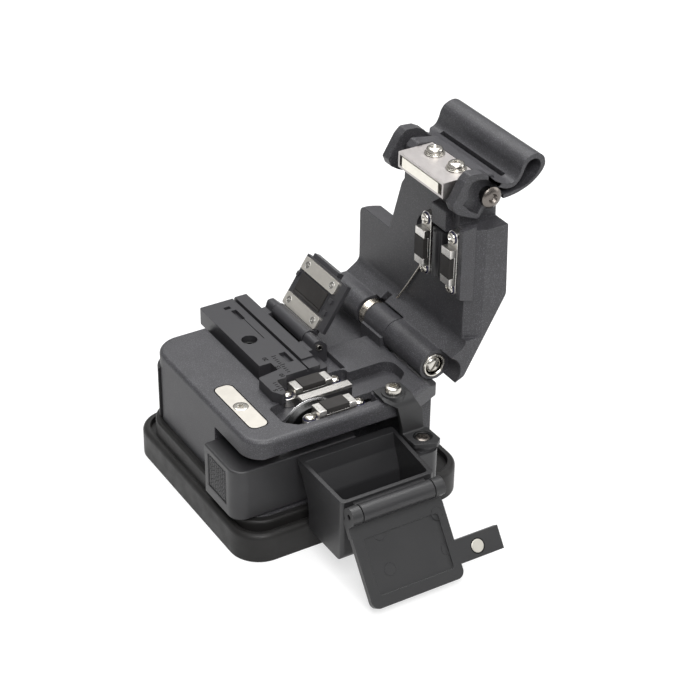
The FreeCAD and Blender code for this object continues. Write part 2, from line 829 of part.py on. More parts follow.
def clamp_pad():
    """The rubber pad between the strips."""
    span = (strip_front + 2.2, strip_rear - 2.0)
    pad = block((far_right + 0.7, near_left - 0.7), span, (strip_face + 0.05, strip_face + 0.45))
    line = block((fibre_x - 0.15, fibre_x + 0.15), (span[0] - 1, span[1] + 1), (strip_face, strip_face + 0.2))
    return part("clamp_pad", swing(without(pad, line), "y", clamp_centre, d.clamp_open))


def clamp_pin():
    """A hollow pin through the lugs and the barrel."""
    centre = (d.clamp_axis_x, d.clamp_axis_z)
    tube = rod("y", centre, (d.lug_front_front - 0.5, d.lug_rear_back - 1.2), d.pin_radius)
    bore = rod("y", centre, (d.lug_front_front - 1, d.lug_rear_back), d.pin_bore)
    return part("clamp_pin", without(tube, bore))


clamp_lid()
clamp_strip("clamp_strip_near", near_left, near_right)
clamp_strip("clamp_strip_far", far_left, far_right)
clamp_screws()
clamp_pad()
clamp_pin()

# --- lower pads and the strip behind the blade -----------------------------------------------------

def lower_bracket(name, y):
    """A nickel bracket with a raised seat for the rubber and a lower ear at each end."""
    deep = (y - half_bracket, y + half_bracket)
    points = [
        (ear_left, pocket_floor),
        (ear_right, pocket_floor),
        (ear_right, bracket_foot_top, 0.3),
        (d.bracket_right, bracket_foot_top),
        (d.bracket_right, d.pad_top, 0.3),
        (d.pad_right, d.pad_top),
        (d.pad_right, d.pad_top - 1.4),
        (d.pad_left, d.pad_top - 1.4),
        (d.pad_left, d.pad_top),
        (d.bracket_left, d.pad_top, 0.3),
        (d.bracket_left, bracket_foot_top),
        (ear_left, bracket_foot_top, 0.3),
    ]
    holes = [rod("z", place, (pocket_floor - 1, bracket_foot_top + 1), ear_shank + 0.05) for place in ear_places(y)]
    return part(name, without(prism("y", points, deep), *holes))


def lower_pad(name, y):
    """The rubber that the fibre rests on, let into its bracket and a little proud of it."""
    deep = (y - half_bracket, y + half_bracket)
    return part(name, block((d.pad_left, d.pad_right), deep, (d.pad_top - 1.4, d.pad_top + d.pad_proud)))


def dome_screw(axis, place, seat, reach, radius, shank, rise, direction=1):
    """A domed cross-head screw that stands on a seat and reaches into what is under it."""
    seat = sized(seat)
    step = sized(rise) / 3
    low, high = (seat - reach, seat) if direction > 0 else (seat, seat + reach)
    pieces = [rod(axis, place, (low, high), shank)]
    if direction > 0:
        pieces.append(rod(axis, place, (seat, seat + step), radius))
        pieces.append(taper(axis, place, (seat + step, seat + rise), radius, sized(radius) * 0.62))
    else:
        pieces.append(rod(axis, place, (seat - step, seat), radius))
        pieces.append(taper(axis, place, (seat - rise, seat - step), sized(radius) * 0.62, radius))
    return joined(*pieces)


def lower_pad_screws():
    """Four screws, one in each ear of the lower brackets."""
    screws = []
    for y in (d.rear_pad_y, d.front_pad_y):
        for x, middle in ear_places(y):
            shape = dome_screw("z", (x, middle), bracket_foot_top, sized(4.2), ear_screw, ear_shank, sized(1.1))
            top = bracket_foot_top + 1.1
            screws.append(without(shape, *cross_slot(x, middle, top, sized(1.7), sized(0.5))))
    return part("lower_pad_screws", group(*screws))


strip_block_rear = sized(-15.8)
strip_left = sized(-9.6)
strip_right = sized(6.3)
strip_top = sized(38.0)


def guide_block():
    """The step in the well that carries the strip behind the blade."""
    return part("guide_block", block((strip_left, strip_right), (-19.8, strip_block_rear), (pocket_floor, strip_top - 1)))


def guide_strip():
    """The nickel strip that runs along behind the blade."""
    return part("guide_strip", block((strip_left, strip_right), (-19.8, -17.2), (strip_top - 1, strip_top)))


lower_bracket("rear_lower_bracket", d.rear_pad_y)
lower_bracket("front_lower_bracket", d.front_pad_y)
lower_pad("rear_lower_pad", d.rear_pad_y)
lower_pad("front_lower_pad", d.front_pad_y)
lower_pad_screws()
guide_block()
guide_strip()

# --- blade and slider ------------------------------------------------------------------------------

hub_front = blade_front - 2.2
axle_bore = axle_radius + d.running_fit
carriage_top = d.slider_top - 1.7
carriage_low = d.slider_low + 1.6
cover_wall = sized(1.6)
slider_right = d.slider_left + d.slider_long
leg_rear = d.slider_front + d.slider_leg
grip_inset = sized(0.4)
rail_low = sized(17.0)
rail_high = sized(21.0)


def blade_disc():
    """The round blade: a thin disc with a bevelled rim."""
    centre = (d.blade_x, blade_z)
    rim = d.blade_radius - 0.5
    front = taper("y", centre, (blade_front, d.blade_y), rim, d.blade_radius)
    rear = taper("y", centre, (d.blade_y, blade_rear), d.blade_radius, rim)
    bore = rod("y", centre, (blade_front - 1, blade_rear + 1), axle_bore)
    return part("blade_disc", without(joined(front, rear), bore))


def blade_hub():
    """The dark clamp disc in front of the blade, with a raised boss."""
    centre = (d.blade_x, blade_z)
    disc = rod("y", centre, (hub_front + 0.8, blade_front), d.hub_radius)
    boss = rod("y", centre, (hub_front, hub_front + 0.8), d.hub_radius - 3.2)
    bore = rod("y", centre, (hub_front - 1, blade_front + 1), axle_bore)
    return part("blade_hub", without(joined(disc, boss), bore))


def blade_axle():
    """The fixed axle that the blade turns on, carried by the carriage's arm."""
    centre = (d.blade_x, blade_z)
    shaft = rod("y", centre, (hub_front, blade_rear + 3), axle_radius)
    return part("blade_axle", shaft)


def slider_cover():
    """The L-shaped moulding that the thumb pushes: a hollow block at the left and a skirt along the front."""
    left_end = d.slider_left + d.slider_grip
    points = [
        (d.slider_left, d.slider_front, d.slider_corner),
        (slider_right, d.slider_front),
        (slider_right, leg_rear, 0.6),
        (left_end, leg_rear),
        (left_end, d.slider_rear),
        (d.slider_left, d.slider_rear, 0.8),
    ]
    shell = prism("z", points, (d.slider_low, d.slider_top))
    shell = rounded(shell, 0.5, level_at(d.slider_top))
    hollow = block(
        (d.slider_left + cover_wall, left_end + 1),
        (leg_rear, d.slider_rear + 1),
        (carriage_low, carriage_top),
    )
    pad_y = (d.slider_rear - 2.0, d.slider_rear - 13.1)
    recess = block((d.slider_left - 1, d.slider_left + grip_inset), (pad_y[1], pad_y[0]), (14.4, 25.9))
    return part("slider_cover", without(shell, hollow, recess))


def thumb_grip():
    """The textured insert in the left face of the slider."""
    front = d.slider_rear - 13.1
    rear = d.slider_rear - 2.0
    return part("thumb_grip", block((d.slider_left + 0.15, d.slider_left + grip_inset), (front, rear), (14.4, 25.9)))


def blade_carriage():
    """The block that runs on the rail and carries the blade's axle on an arm."""
    fit = sized(0.03)
    body = block(
        (d.slider_left + cover_wall + fit, slider_right - 0.3),
        (leg_rear + fit, -12.2),
        (carriage_low + fit, carriage_top - fit),
    )
    hub_notch = block(
        (d.blade_x - d.blade_radius - 0.8, d.blade_x + d.blade_radius + 0.8),
        (hub_front - 0.4, blade_rear + 0.5),
        (blade_z - d.blade_radius - 0.8, d.deck_top),
    )
    arm = block((d.blade_x - carrier_half, d.blade_x + carrier_half), (carrier_front, carrier_rear), (carriage_top - 2, carrier_top))
    rail_slot = block((-40, 25), (-13.0, -12.0), (rail_low - 0.1, rail_high + 0.1))
    bore = rod("y", (d.blade_x, blade_z), (blade_rear, blade_rear + 4), axle_radius)
    return part("blade_carriage", without(joined(without(body, hub_notch), arm), bore, rail_slot))


def slide_rail():
    """The guide rail along the back of the slider's slot."""
    left = d.slider_left + cover_wall + d.slider_travel + 0.6
    rail = block((left, d.slot_right), (-12.9, d.slot_rear), (rail_low, rail_high))
    return part("slide_rail", rail)


blade_disc()
blade_hub()
blade_axle()
slider_cover()
thumb_grip()
blade_carriage()
slide_rail()

# --- main lid ----------------------------------------------------------------------------------------

lid_barrel_front = d.body_barrel_front - d.hinge_gap
lid_barrel_rear = d.body_barrel_rear + d.spring_room
hub_nose = d.barrel_front
arm_back = sized(47.2)
knee_x = sized(48.3)
knee_z = sized(60.5)
ear_line = d.ear_front + d.ear_thick + 0.25
ear_inner = d.ear_rear - d.ear_thick
arm_top_rear = ear_inner - 0.3
heel_z = d.hinge_z - 2.4
box_face = sized(33.2)
rim_rear = sized(-29.0)
upper_low = sized(66.0)
upper_high = sized(77.0)
upper_face = sized(31.1)
upper_ear = sized(4.2)
upper_ear_face = d.arm_face - 2.4
holder_face = d.magnet_face + 0.2
holder_low = d.magnet_z - d.holder_high / 2
holder_top = d.magnet_z + d.holder_high / 2


def lid_casting():
    """The lid: a cranked arm with a wing, a front rim and two hinge barrels, standing open."""
    low = d.hinge_z - d.barrel_radius
    high = d.hinge_z + d.barrel_radius
    hub_corner = d.barrel_radius - 0.05
    section = [
        (d.hinge_x - d.barrel_radius, low, hub_corner),
        (d.hinge_x + 1.4, low, 1.0),
        (d.arm_face, heel_z, 1.2),
        (knee_x, knee_z, 3.0),
        (arm_back, 89.0, 1.5),
        (46.0, d.arm_top - 1.5, 1.0),
        (37.2, d.arm_top, 1.0),
        (d.arm_face, d.arm_top - 1.6),
        (d.arm_face, d.hinge_z + 7.5, 3.0),
        (d.hinge_x + 1.8, high, 1.0),
        (d.hinge_x - d.barrel_radius, high, hub_corner),
    ]
    side = prism("x", [
        (d.lid_front, 30),
        (d.lid_rear, 30),
        (d.lid_rear, d.wing_top, 2.6),
        (d.arm_rear, d.wing_top),
        (ear_inner + 1.0, 82.5, 2.0),
        (arm_top_rear, 84.4),
        (arm_top_rear - 0.2, d.arm_top + 1),
        (ear_line, d.arm_top + 1),
        (ear_line, 82.4),
        (d.lid_front, 82.4),
    ], (20, 55))
    arm = shared(prism("y", section, (d.lid_front - 1, d.lid_rear + 1)), side)
    wing_back = prism("y", [
        (d.arm_face - 1, d.wing_top + 0.3),
        (d.arm_face + d.wing_thick, d.wing_top - 2.4, 1.2),
        (d.arm_face + d.wing_thick, d.hinge_z),
        (55, d.hinge_z),
        (55, d.wing_top + 2),
        (d.arm_face - 1, d.wing_top + 2),
    ], (d.arm_rear, d.lid_rear + 2))
    front_cut = prism("z", [
        (d.arm_face - 4, rim_rear),
        (d.arm_face, rim_rear - 0.2),
        (40.7, d.lid_front),
        (40.7, d.lid_front - 1),
        (d.arm_face - 4, d.lid_front - 1),
    ], (d.hinge_z + 9, 100))
    arm = without(without(arm, wing_back), front_cut)
    rim = prism("y", [
        (d.arm_face + 2, 61.0),
        (box_face, 62.4, 0.5),
        (box_face, 83.4, 0.5),
        (d.arm_face + 2, 83.8),
    ], (d.lid_front + 0.6, rim_rear))
    tower = prism("y", [
        (d.arm_face + 1, 78.6),
        (box_face, 79.6, 0.4),
        (box_face, 85.6, 0.4),
        (d.arm_face + 1, 86.4),
    ], (-22.4, -15.6))
    centre = (d.hinge_x, d.hinge_z)
    room = rod("y", centre, (lid_barrel_front, lid_barrel_rear), sweep_radius)
    front_room = rod("y", centre, (d.lid_front - 1, hub_nose), d.barrel_radius + 0.4)
    bore = rod("y", centre, (hub_nose - 1, d.lid_rear - 2.5), d.hinge_pin + d.running_fit)
    bush = rod("y", centre, (hub_nose - 1, hub_nose + 3.4), 3.62)
    screw_holes = [rod("x", (y, z), (d.arm_face - 1, d.arm_face + 4), ear_shank) for y, z in upper_places()]
    for place in holder_screw_places():
        screw_holes.append(rod("z", place, (holder_top - 6, d.arm_top + 1), 1.25))
    leg_notch = block((d.hinge_x, 33.9), (lid_barrel_rear - 4.8, lid_barrel_rear - 2.4), (42, 48.5))
    anvil_well = block((d.arm_face - 4, d.arm_face + 3.2), (-22.0, -16.9), (64.6, 79.4))
    dip = rod("x", (d.rear_pad_y + 1.0, 72.0), (d.arm_face - 1, d.arm_face + 0.9), 7.4)
    pivots = [
        rod("y", (d.pivot_x, d.pivot_z), (ear_line - 1, ear_line + 7), 1.4),
        rod("y", (d.pivot_x, d.pivot_z), (arm_top_rear - 7, arm_top_rear + 1), 1.4),
    ]
    half_holder = d.holder_long / 2 + 0.15
    roof_seat = block(
        (d.arm_face - 1, d.magnet_face + 0.2 + d.holder_deep + 0.2),
        (d.holder_y - half_holder, d.holder_y + half_holder),
        (holder_top - d.holder_wall, d.arm_top + 1),
    )
    shape = joined(without(without(arm, room), front_room), rim, tower)
    for cuts in ([roof_seat, leg_notch], [bush, bore], [anvil_well], [dip], screw_holes, pivots):
        shape = without(shape, *cuts)
    return part("lid_casting", shape)


def upper_places():
    """The screws of the upper brackets on the lid: above and below each pad."""
    places = []
    for y in (d.rear_pad_y, d.front_pad_y):
        places.append((y, upper_high + upper_ear / 2 + 0.6))
        places.append((y, upper_low - upper_ear / 2 + 0.4))
    return places


def holder_screw_places():
    """The two screws of the magnet's holder, down through its roof."""
    middle = d.arm_face + 2.9
    return [(middle, d.holder_y - 5.2), (middle, d.holder_y + 5.2)]


def upper_bracket(name, y):
    """A nickel bracket on the lid, with a raised seat for its rubber and an ear at each end."""
    deep = (y - half_bracket, y + half_bracket)
    low = upper_low - upper_ear + 0.6
    high = upper_high + upper_ear + 0.4
    points = [
        (d.arm_face, low),
        (d.arm_face, high),
        (upper_ear_face, high, 0.3),
        (upper_ear_face, upper_high),
        (upper_face, upper_high, 0.3),
        (upper_face, upper_high - 2.4),
        (upper_face + 1.3, upper_high - 2.4),
        (upper_face + 1.3, upper_low + 2.4),
        (upper_face, upper_low + 2.4),
        (upper_face, upper_low, 0.3),
        (upper_ear_face, upper_low),
        (upper_ear_face, low, 0.3),
    ]
    holes = []
    for place in upper_places():
        if place[0] is y:
            holes.append(rod("x", place, (upper_ear_face - 1, d.arm_face + 1), ear_shank + 0.05))
    return part(name, without(prism("y", points, deep), *holes))


def upper_pad(name, y):
    """The rubber in an upper bracket."""
    deep = (y - half_bracket, y + half_bracket)
    return part(name, block((upper_face - 0.15, upper_face + 1.3), deep, (upper_low + 2.4, upper_high - 2.4)))


def upper_pad_screws():
    """Four screws, one in each ear of the upper brackets."""
    screws = []
    for y, z in upper_places():
        shape = dome_screw("x", (y, z), upper_ear_face, sized(4.0), ear_screw, ear_shank, sized(1.1), -1)
        screws.append(shape)
    return part("upper_pad_screws", group(*screws))


def anvil():
    """The sprung ridge between the upper pads that snaps the scored fibre."""
    face = sized(31.6)
    points = [
        (d.arm_face + 1.8, -21.7),
        (d.arm_face + 1.8, -17.2),
        (face + 1.2, -17.2),
        (face + 1.2, -18.6),
        (face, -18.9, 0.2),
        (face, -20.2, 0.2),
        (face + 1.2, -20.5),
        (face + 1.2, -21.7),
    ]
    return part("anvil", prism("z", points, (65.0, 79.0)))


def magnet_holder():
    """The folded nickel box that holds the magnet at the top of the lid."""
    half = d.holder_long / 2
    front = d.holder_y - half
    rear = d.holder_y + half
    body = block((holder_face, d.arm_face), (front, rear), (holder_low, holder_top))
    roof = block((holder_face, holder_face + d.holder_deep), (front, rear), (holder_top - 0.7, holder_top))
    hollow = block(
        (holder_face - 1, d.arm_face - 0.6),
        (front + d.holder_wall, rear - d.holder_wall),
        (holder_low + d.holder_wall, holder_top - d.holder_wall),
    )
    holes = [rod("z", place, (holder_top - 2, holder_top + 1), 1.25) for place in holder_screw_places()]
    return part("magnet_holder", without(joined(body, roof), hollow, *holes))


magnet_margin = sized(2.2)


def lid_magnet():
    """The bar magnet in its holder."""
    front = d.holder_y - d.holder_long / 2 + magnet_margin
    rear = d.holder_y + d.holder_long / 2 - magnet_margin
    half = d.magnet_high / 2
    return part("lid_magnet", block((d.magnet_face, d.arm_face - 0.6), (front, rear), (d.magnet_z - half, d.magnet_z + half)))


lid_casting()
upper_bracket("rear_upper_bracket", d.rear_pad_y)
upper_bracket("front_upper_bracket", d.front_pad_y)
upper_pad("rear_upper_pad", d.rear_pad_y)
upper_pad("front_upper_pad", d.front_pad_y)
upper_pad_screws()
anvil()
magnet_holder()
lid_magnet()


def magnet_screws():
    """Two cross-head screws on washers through the roof of the magnet's holder."""
    screws = []
    for x, y in holder_screw_places():
        washer = rod("z", (x, y), (holder_top, holder_top + 0.5), 2.75)
        screw = dome_screw("z", (x, y), holder_top + 0.5, sized(5.0), sized(2.3), sized(1.2), sized(1.7))
        cross = cross_slot(x, y, holder_top + 2.2, sized(2.5), sized(0.8))
        screws.append(without(joined(washer, screw), *cross))
    return part("magnet_screws", group(*screws))


def hinge_pin():
    """The steel pin through all the hinge barrels, with a slotted end at the front."""
    centre = (d.hinge_x, d.hinge_z)
    pin = rod("y", centre, (hub_nose + 0.3, d.lid_rear - 2.6), d.hinge_pin)
    slot = block((d.hinge_x - 3, d.hinge_x + 3), (hub_nose, hub_nose + 1.3), (d.hinge_z - 0.35, d.hinge_z + 0.35))
    return part("hinge_pin", without(pin, slot))


def hinge_bush():
    """The nickel ring in the front barrel."""
    centre = (d.hinge_x, d.hinge_z)
    ring = rod("y", centre, (hub_nose - 0.4, hub_nose + 3.4), 3.6)
    bore = rod("y", centre, (hub_nose - 1, hub_nose + 4), d.hinge_pin + d.running_fit)
    return part("hinge_bush", without(ring, bore))


def point(x, y, z):
    """A point from three sizes."""
    return FreeCAD.Vector(sized(x).value, sized(y).value, sized(z).value)


def bent_line(points, radii):
    """Straight runs joined by arcs of the given radii at the inner points."""
    edges = []
    start = points[0]
    for before, corner, after, radius in zip(points, points[1:], points[2:], radii):
        back = (before - corner).normalize()
        ahead = (after - corner).normalize()
        half_turn = back.getAngle(ahead) / 2
        reach = radius / math.tan(half_turn)
        towards = (back + ahead).normalize()
        middle = corner + towards * (radius / math.sin(half_turn) - radius)
        edges.append(Part.LineSegment(start, corner + back * reach).toShape())
        edges.append(Part.Arc(corner + back * reach, middle, corner + ahead * reach).toShape())
        start = corner + ahead * reach
    edges.append(Part.LineSegment(start, points[-1]).toShape())
    return Part.Wire(edges)


def made(name, shape):
    """A shape that neither a sketch nor a primitive fits, as an object of the document."""
    item = doc.addObject("Part::Feature", name)
    item.Shape = shape
    return item


def ribbon(axis, path, span, thick):
    """A wall of even thickness that follows a path of (u, v[, radius]) points, pulled along an axis."""
    first, second = SPANS[axis]
    points = [AXES[first] * sized(p[0]).value + AXES[second] * sized(p[1]).value for p in path]
    radii = [sized(p[2]).value for p in path[1:-1]]
    middle = bent_line(points, radii)
    outline = middle.makeOffset2D(sized(thick).value / 2, 0, False, False)
    low, high = sized(span[0]).value, sized(span[1]).value
    face = Part.Face(outline)
    face.translate(AXES[axis] * low)
    return made("Ribbon", face.extrude(AXES[axis] * (high - low)))


wire = sized(0.36)
coil_radius = sized(3.4)
coil_turns = 5
wire_sides = 6


def lid_spring():
    """The torsion spring between the rear barrels, with its long leg up the lid."""
    low = d.body_barrel_rear + wire + 0.05
    pitch = (d.spring_room - wire * 2 - 0.1) / coil_turns
    coil = Part.makeHelix(pitch.value, pitch.value * coil_turns, coil_radius.value)
    turn = 2 * math.pi / wire_sides
    corners = [(math.cos(turn * side) * wire.value, math.sin(turn * side) * wire.value) for side in range(wire_sides)]
    ring = [FreeCAD.Vector(coil_radius.value + out, 0, up) for out, up in corners]
    body = coil.makePipeShell([Part.makePolygon(ring + ring[:1])], True, True)
    body.rotate(FreeCAD.Vector(), AXES["x"], -90)
    body.translate(point(d.hinge_x, low, d.hinge_z))
    start = point(d.hinge_x + coil_radius, low, d.hinge_z)
    path = [start, start + point(0, 0, 6), point(d.arm_face - wire - 0.1, -6.6, 59.0)]
    route = bent_line(path, [2.0])
    round_section = Part.Wire(Part.makeCircle(wire.value, start, AXES["z"]))
    leg = route.makePipeShell([round_section], True, True)
    return part("lid_spring", group(made("Coil", body), made("Leg", leg)))


magnet_screws()
hinge_pin()
hinge_bush()
lid_spring()

# --- release handle ----------------------------------------------------------------------------------

pivot_bore = sized(1.45)
pivot_head = sized(2.75)
handle_edge = d.ear_rear


def handle_ear(span, face, inward):
    """One cheek of the handle, with a shallow recess round the pivot on its outer face."""
    outline = [
        (30.6, 93.5, 0.8),
        (32.7, 96.0, 0.8),
        (35.3, 99.0, 1.2),
        (38.9, 100.4, 2.0),
        (42.6, 99.4, 2.0),
        (46.6, 97.0, 2.0),
        (49.6, 92.4, 2.0),
        (48.4, 89.2, 1.5),
        (d.pivot_x + 2.0, d.pivot_z - 4.8, 2.5),
        (39.3, 85.0, 1.5),
        (36.2, 86.9, 1.2),
    ]
    recess = [
        (36.4, 92.4, 0.8),
        (39.6, 96.6, 1.5),
        (43.6, 95.6, 1.5),
        (46.7, 93.4, 1.0),
        (46.7, 89.4, 1.0),
        (44.4, 87.6, 1.0),
        (39.3, 86.7, 0.8),
        (37.2, 88.6, 0.8),
    ]
    cheek = prism("y", outline, span)
    return without(cheek, prism("y", recess, (face, inward)))


def release_handle():
    """The handle that pivots at the top of the lid: two cheeks, a dipped web and a hollow curled grip."""
    front = handle_ear((d.ear_front, d.ear_front + d.ear_thick), d.ear_front - 1, d.ear_front + 1.3)
    rear = handle_ear((ear_inner, d.ear_rear), d.ear_rear - 1.3, d.ear_rear + 1)
    path = [
        (46.0, 97.6),
        (49.3, 92.2, 2.4),
        (d.valley_x + 3.2, d.valley_z - 0.8, 2.6),
        (56.2, 97.0, 3.0),
        (d.curl_x + 2.4, d.curl_z + 5.6, 3.2),
        (d.curl_x + 4.1, d.curl_z - 2.2, 3.6),
        (56.6, 86.4, 3.0),
        (48.9, 87.4),
    ]
    web = ribbon("y", path, (d.ear_front, d.ear_rear), d.handle_wall)
    window = prism("x", [
        (d.ear_front + 6.2, 86),
        (d.ear_rear - 6.2, 86),
        (d.ear_rear - 6.2, 94.6),
        (d.ear_front + 6.2, 94.6),
    ], (d.valley_x - 1.0, d.valley_x + 0.9))
    slot = block((d.valley_x - 2.2, d.valley_x - 0.3), (d.ear_front + 6.2, d.ear_rear - 6.2), (89.0, 95.0))
    bore = rod("y", (d.pivot_x, d.pivot_z), (d.ear_front - 1, d.ear_rear + 1), pivot_bore)
    return part("release_handle", without(joined(front, rear, web), slot, bore))


def pivot_screws():
    """The two shouldered screws that the handle turns on."""
    centre = (d.pivot_x, d.pivot_z)
    seat_front = d.ear_front + 1.3
    seat_rear = d.ear_rear - 1.3
    front = joined(
        rod("y", centre, (seat_front - 0.05, ear_line + 6), 1.4),
        rod("y", centre, (seat_front - 1.9, seat_front - 0.05), pivot_head),
        rod("y", centre, (seat_front - 2.4, seat_front - 1.9), pivot_head - 0.4),
    )
    rear = joined(
        rod("y", centre, (arm_top_rear - 6, seat_rear + 0.05), 1.4),
        rod("y", centre, (seat_rear + 0.05, seat_rear + 1.9), pivot_head),
        rod("y", centre, (seat_rear + 1.9, seat_rear + 2.4), pivot_head - 0.4),
    )
    sockets = [
        rod("y", centre, (seat_front - 3, seat_front - 1.2), 1.2),
        rod("y", centre, (seat_rear + 1.2, seat_rear + 3), 1.2),
    ]
    return part("pivot_screws", group(without(front, sockets[0]), without(rear, sockets[1])))


release_handle()
pivot_screws()

# --- scrap box, its lid and the arm that holds it ------------------------------------------------------

flap_front = d.flap_axis_y
flap_z = d.flap_axis_z
knuckle_end = d.box_right - d.box_taper
barrel_left = d.box_left + d.flap_knuckle + 0.3
barrel_right = knuckle_end - d.flap_knuckle - 0.3
flap_low = d.box_rim + 0.2
flap_far = d.flap_axis_y + d.flap_long
tab_near = sized(15.6)
tab_deep = sized(6.6)
tab_end = sized(26.0)
striker_radius = sized(2.6)
flap_pin = sized(0.8)


def box_side(inset):
    """The side view of the scrap box, inset by a wall."""
    rear = d.box_rear - inset
    return [
        (d.box_front + inset, d.box_low + inset, 2.4),
        (d.box_front + inset, d.box_rim + inset * 4),
        (rear, d.box_rim + inset * 4),
        (rear - 3.0, d.box_rim - 4.1, 1.5),
        (rear - 6.0, d.box_rim - 9.6, 3.0),
        (rear - 6.7, d.box_low + 5.4, 2.0),
        (rear - 6.7, d.box_low + inset, 1.5),
    ]


def box_plan(inset):
    """The plan of the scrap box, which narrows towards its front."""
    return [
        (d.box_left + inset, d.box_rear - inset, 0.8),
        (d.box_right - inset, d.box_rear - inset, 0.8),
        (knuckle_end - inset, d.box_front + inset, 1.2),
        (d.box_left + inset, d.box_front + inset, 1.2),
    ]


def scrap_box():
    """The open box that catches the cut ends, with a hinge barrel along its front rim."""
    outer = shared(
        prism("x", box_side(sized(0)), (d.box_left - 1, d.box_right + 1)),
        prism("z", box_plan(sized(0)), (d.box_low - 1, d.box_rim)),
    )
    inner = shared(
        prism("x", box_side(d.box_wall), (d.box_left - 1, d.box_right + 1)),
        prism("z", box_plan(d.box_wall), (d.box_low, d.box_rim + 1)),
    )
    barrel = rod("x", (flap_front, flap_z), (barrel_left, barrel_right), d.flap_barrel)
    web = block((barrel_left, barrel_right), (flap_front, d.box_front + 0.4), (flap_z - 1.6, flap_z + 1.2))
    boss = prism("z", [
        (d.box_right - 1, d.striker_y + 4.6),
        (d.striker_x + 3.2, d.striker_y + 4.6, 3.0),
        (d.striker_x + 3.2, d.striker_y - 4.6, 3.0),
        (d.box_right - 1, d.striker_y - 4.6),
    ], (12.0, 24.4))
    seat = rod("z", (d.striker_x, d.striker_y), (24.0, pad_low), 3.9)
    bore = rod("x", (flap_front, flap_z), (barrel_left - 1, barrel_right + 1), flap_pin)
    hole = rod("z", (d.striker_x, d.striker_y), (18.0, pad_low + 1), 1.4)
    return part("scrap_box", without(joined(without(outer, inner), barrel, web, without(joined(boss, seat), inner)), bore, hole))


pad_level = d.box_rim
pad_low = pad_level - 1.4
arm_level = d.deck_top + 1.4


def bracket_arm():
    """The bent arm from the deck down to the pad that carries the scrap box."""
    path = [
        (-26.0, arm_level - 0.7),
        (-32.6, arm_level - 0.7, 2.6),
        (-33.6, pad_level - 0.7, 1.2),
        (-37.0, pad_level - 0.7),
    ]
    strap = ribbon("x", path, (8, 24), sized(1.4))
    mask = prism("y", [
        (9.2, arm_level + 1),
        (9.2, arm_level - 0.4),
        (12.5, arm_level - 2.6),
        (12.9, arm_level - 4.0),
        (14.0, pad_level + 1.4),
        (14.0, pad_low - 1),
        (21.4, pad_low - 1),
        (20.8, pad_level + 1.4),
        (20.6, arm_level - 5.4),
        (18.4, d.deck_top),
        (17.8, arm_level + 1),
    ], (-45, -20))
    pad = prism("z", [
        (14.1, d.striker_y - 0.7, 0.5),
        (14.1, d.striker_y + 2.4, 0.5),
        (17.0, d.striker_y + 3.8, 0.5),
        (21.8, d.striker_y + 3.2, 0.8),
        (22.0, d.striker_y - 3.4, 0.8),
        (20.0, d.striker_y - 4.9, 0.6),
        (14.1, d.striker_y - 2.4, 0.5),
    ], (pad_low, pad_level))
    collar = rod("z", (d.arm_screw_x, d.arm_screw_y), (d.deck_top, arm_level + 0.5), 3.3)
    hole = rod("z", (d.arm_screw_x, d.arm_screw_y), (d.deck_top - 1, arm_level + 2), 1.45)
    sink = rod("z", (d.striker_x, d.striker_y), (pad_low - 1, pad_level + 1), 1.5)
    well = rod("z", (d.striker_x, d.striker_y), (pad_level - 0.9, pad_level + 1), striker_radius + 0.1)
    return part("bracket_arm", without(joined(shared(strap, mask), pad, collar), hole, sink, well))


def bracket_screw():
    """The cap screw that holds the arm to the deck."""
    place = (d.arm_screw_x, d.arm_screw_y)
    seat = arm_level + 0.5
    head = rounded(rod("z", place, (seat, seat + 1.9), 2.3), 0.4, level_at(seat + 1.9))
    shank = rod("z", place, (d.deck_top - 4.8, seat), 1.3)
    socket = rod("z", place, (seat + 0.7, seat + 3), 1.2)
    return part("bracket_screw", without(joined(head, shank), socket))


def striker_screw():
    """The flush steel screw in the pad, which the scrap lid's magnet meets."""
    place = (d.striker_x, d.striker_y)
    head = rod("z", place, (pad_level - 0.9, pad_level), striker_radius)
    shank = rod("z", place, (18.2, pad_level - 0.9), 1.4)
    cross = cross_slot(d.striker_x, d.striker_y, pad_level, sized(2.6), sized(0.5))
    return part("striker_screw", without(joined(head, shank), *cross))


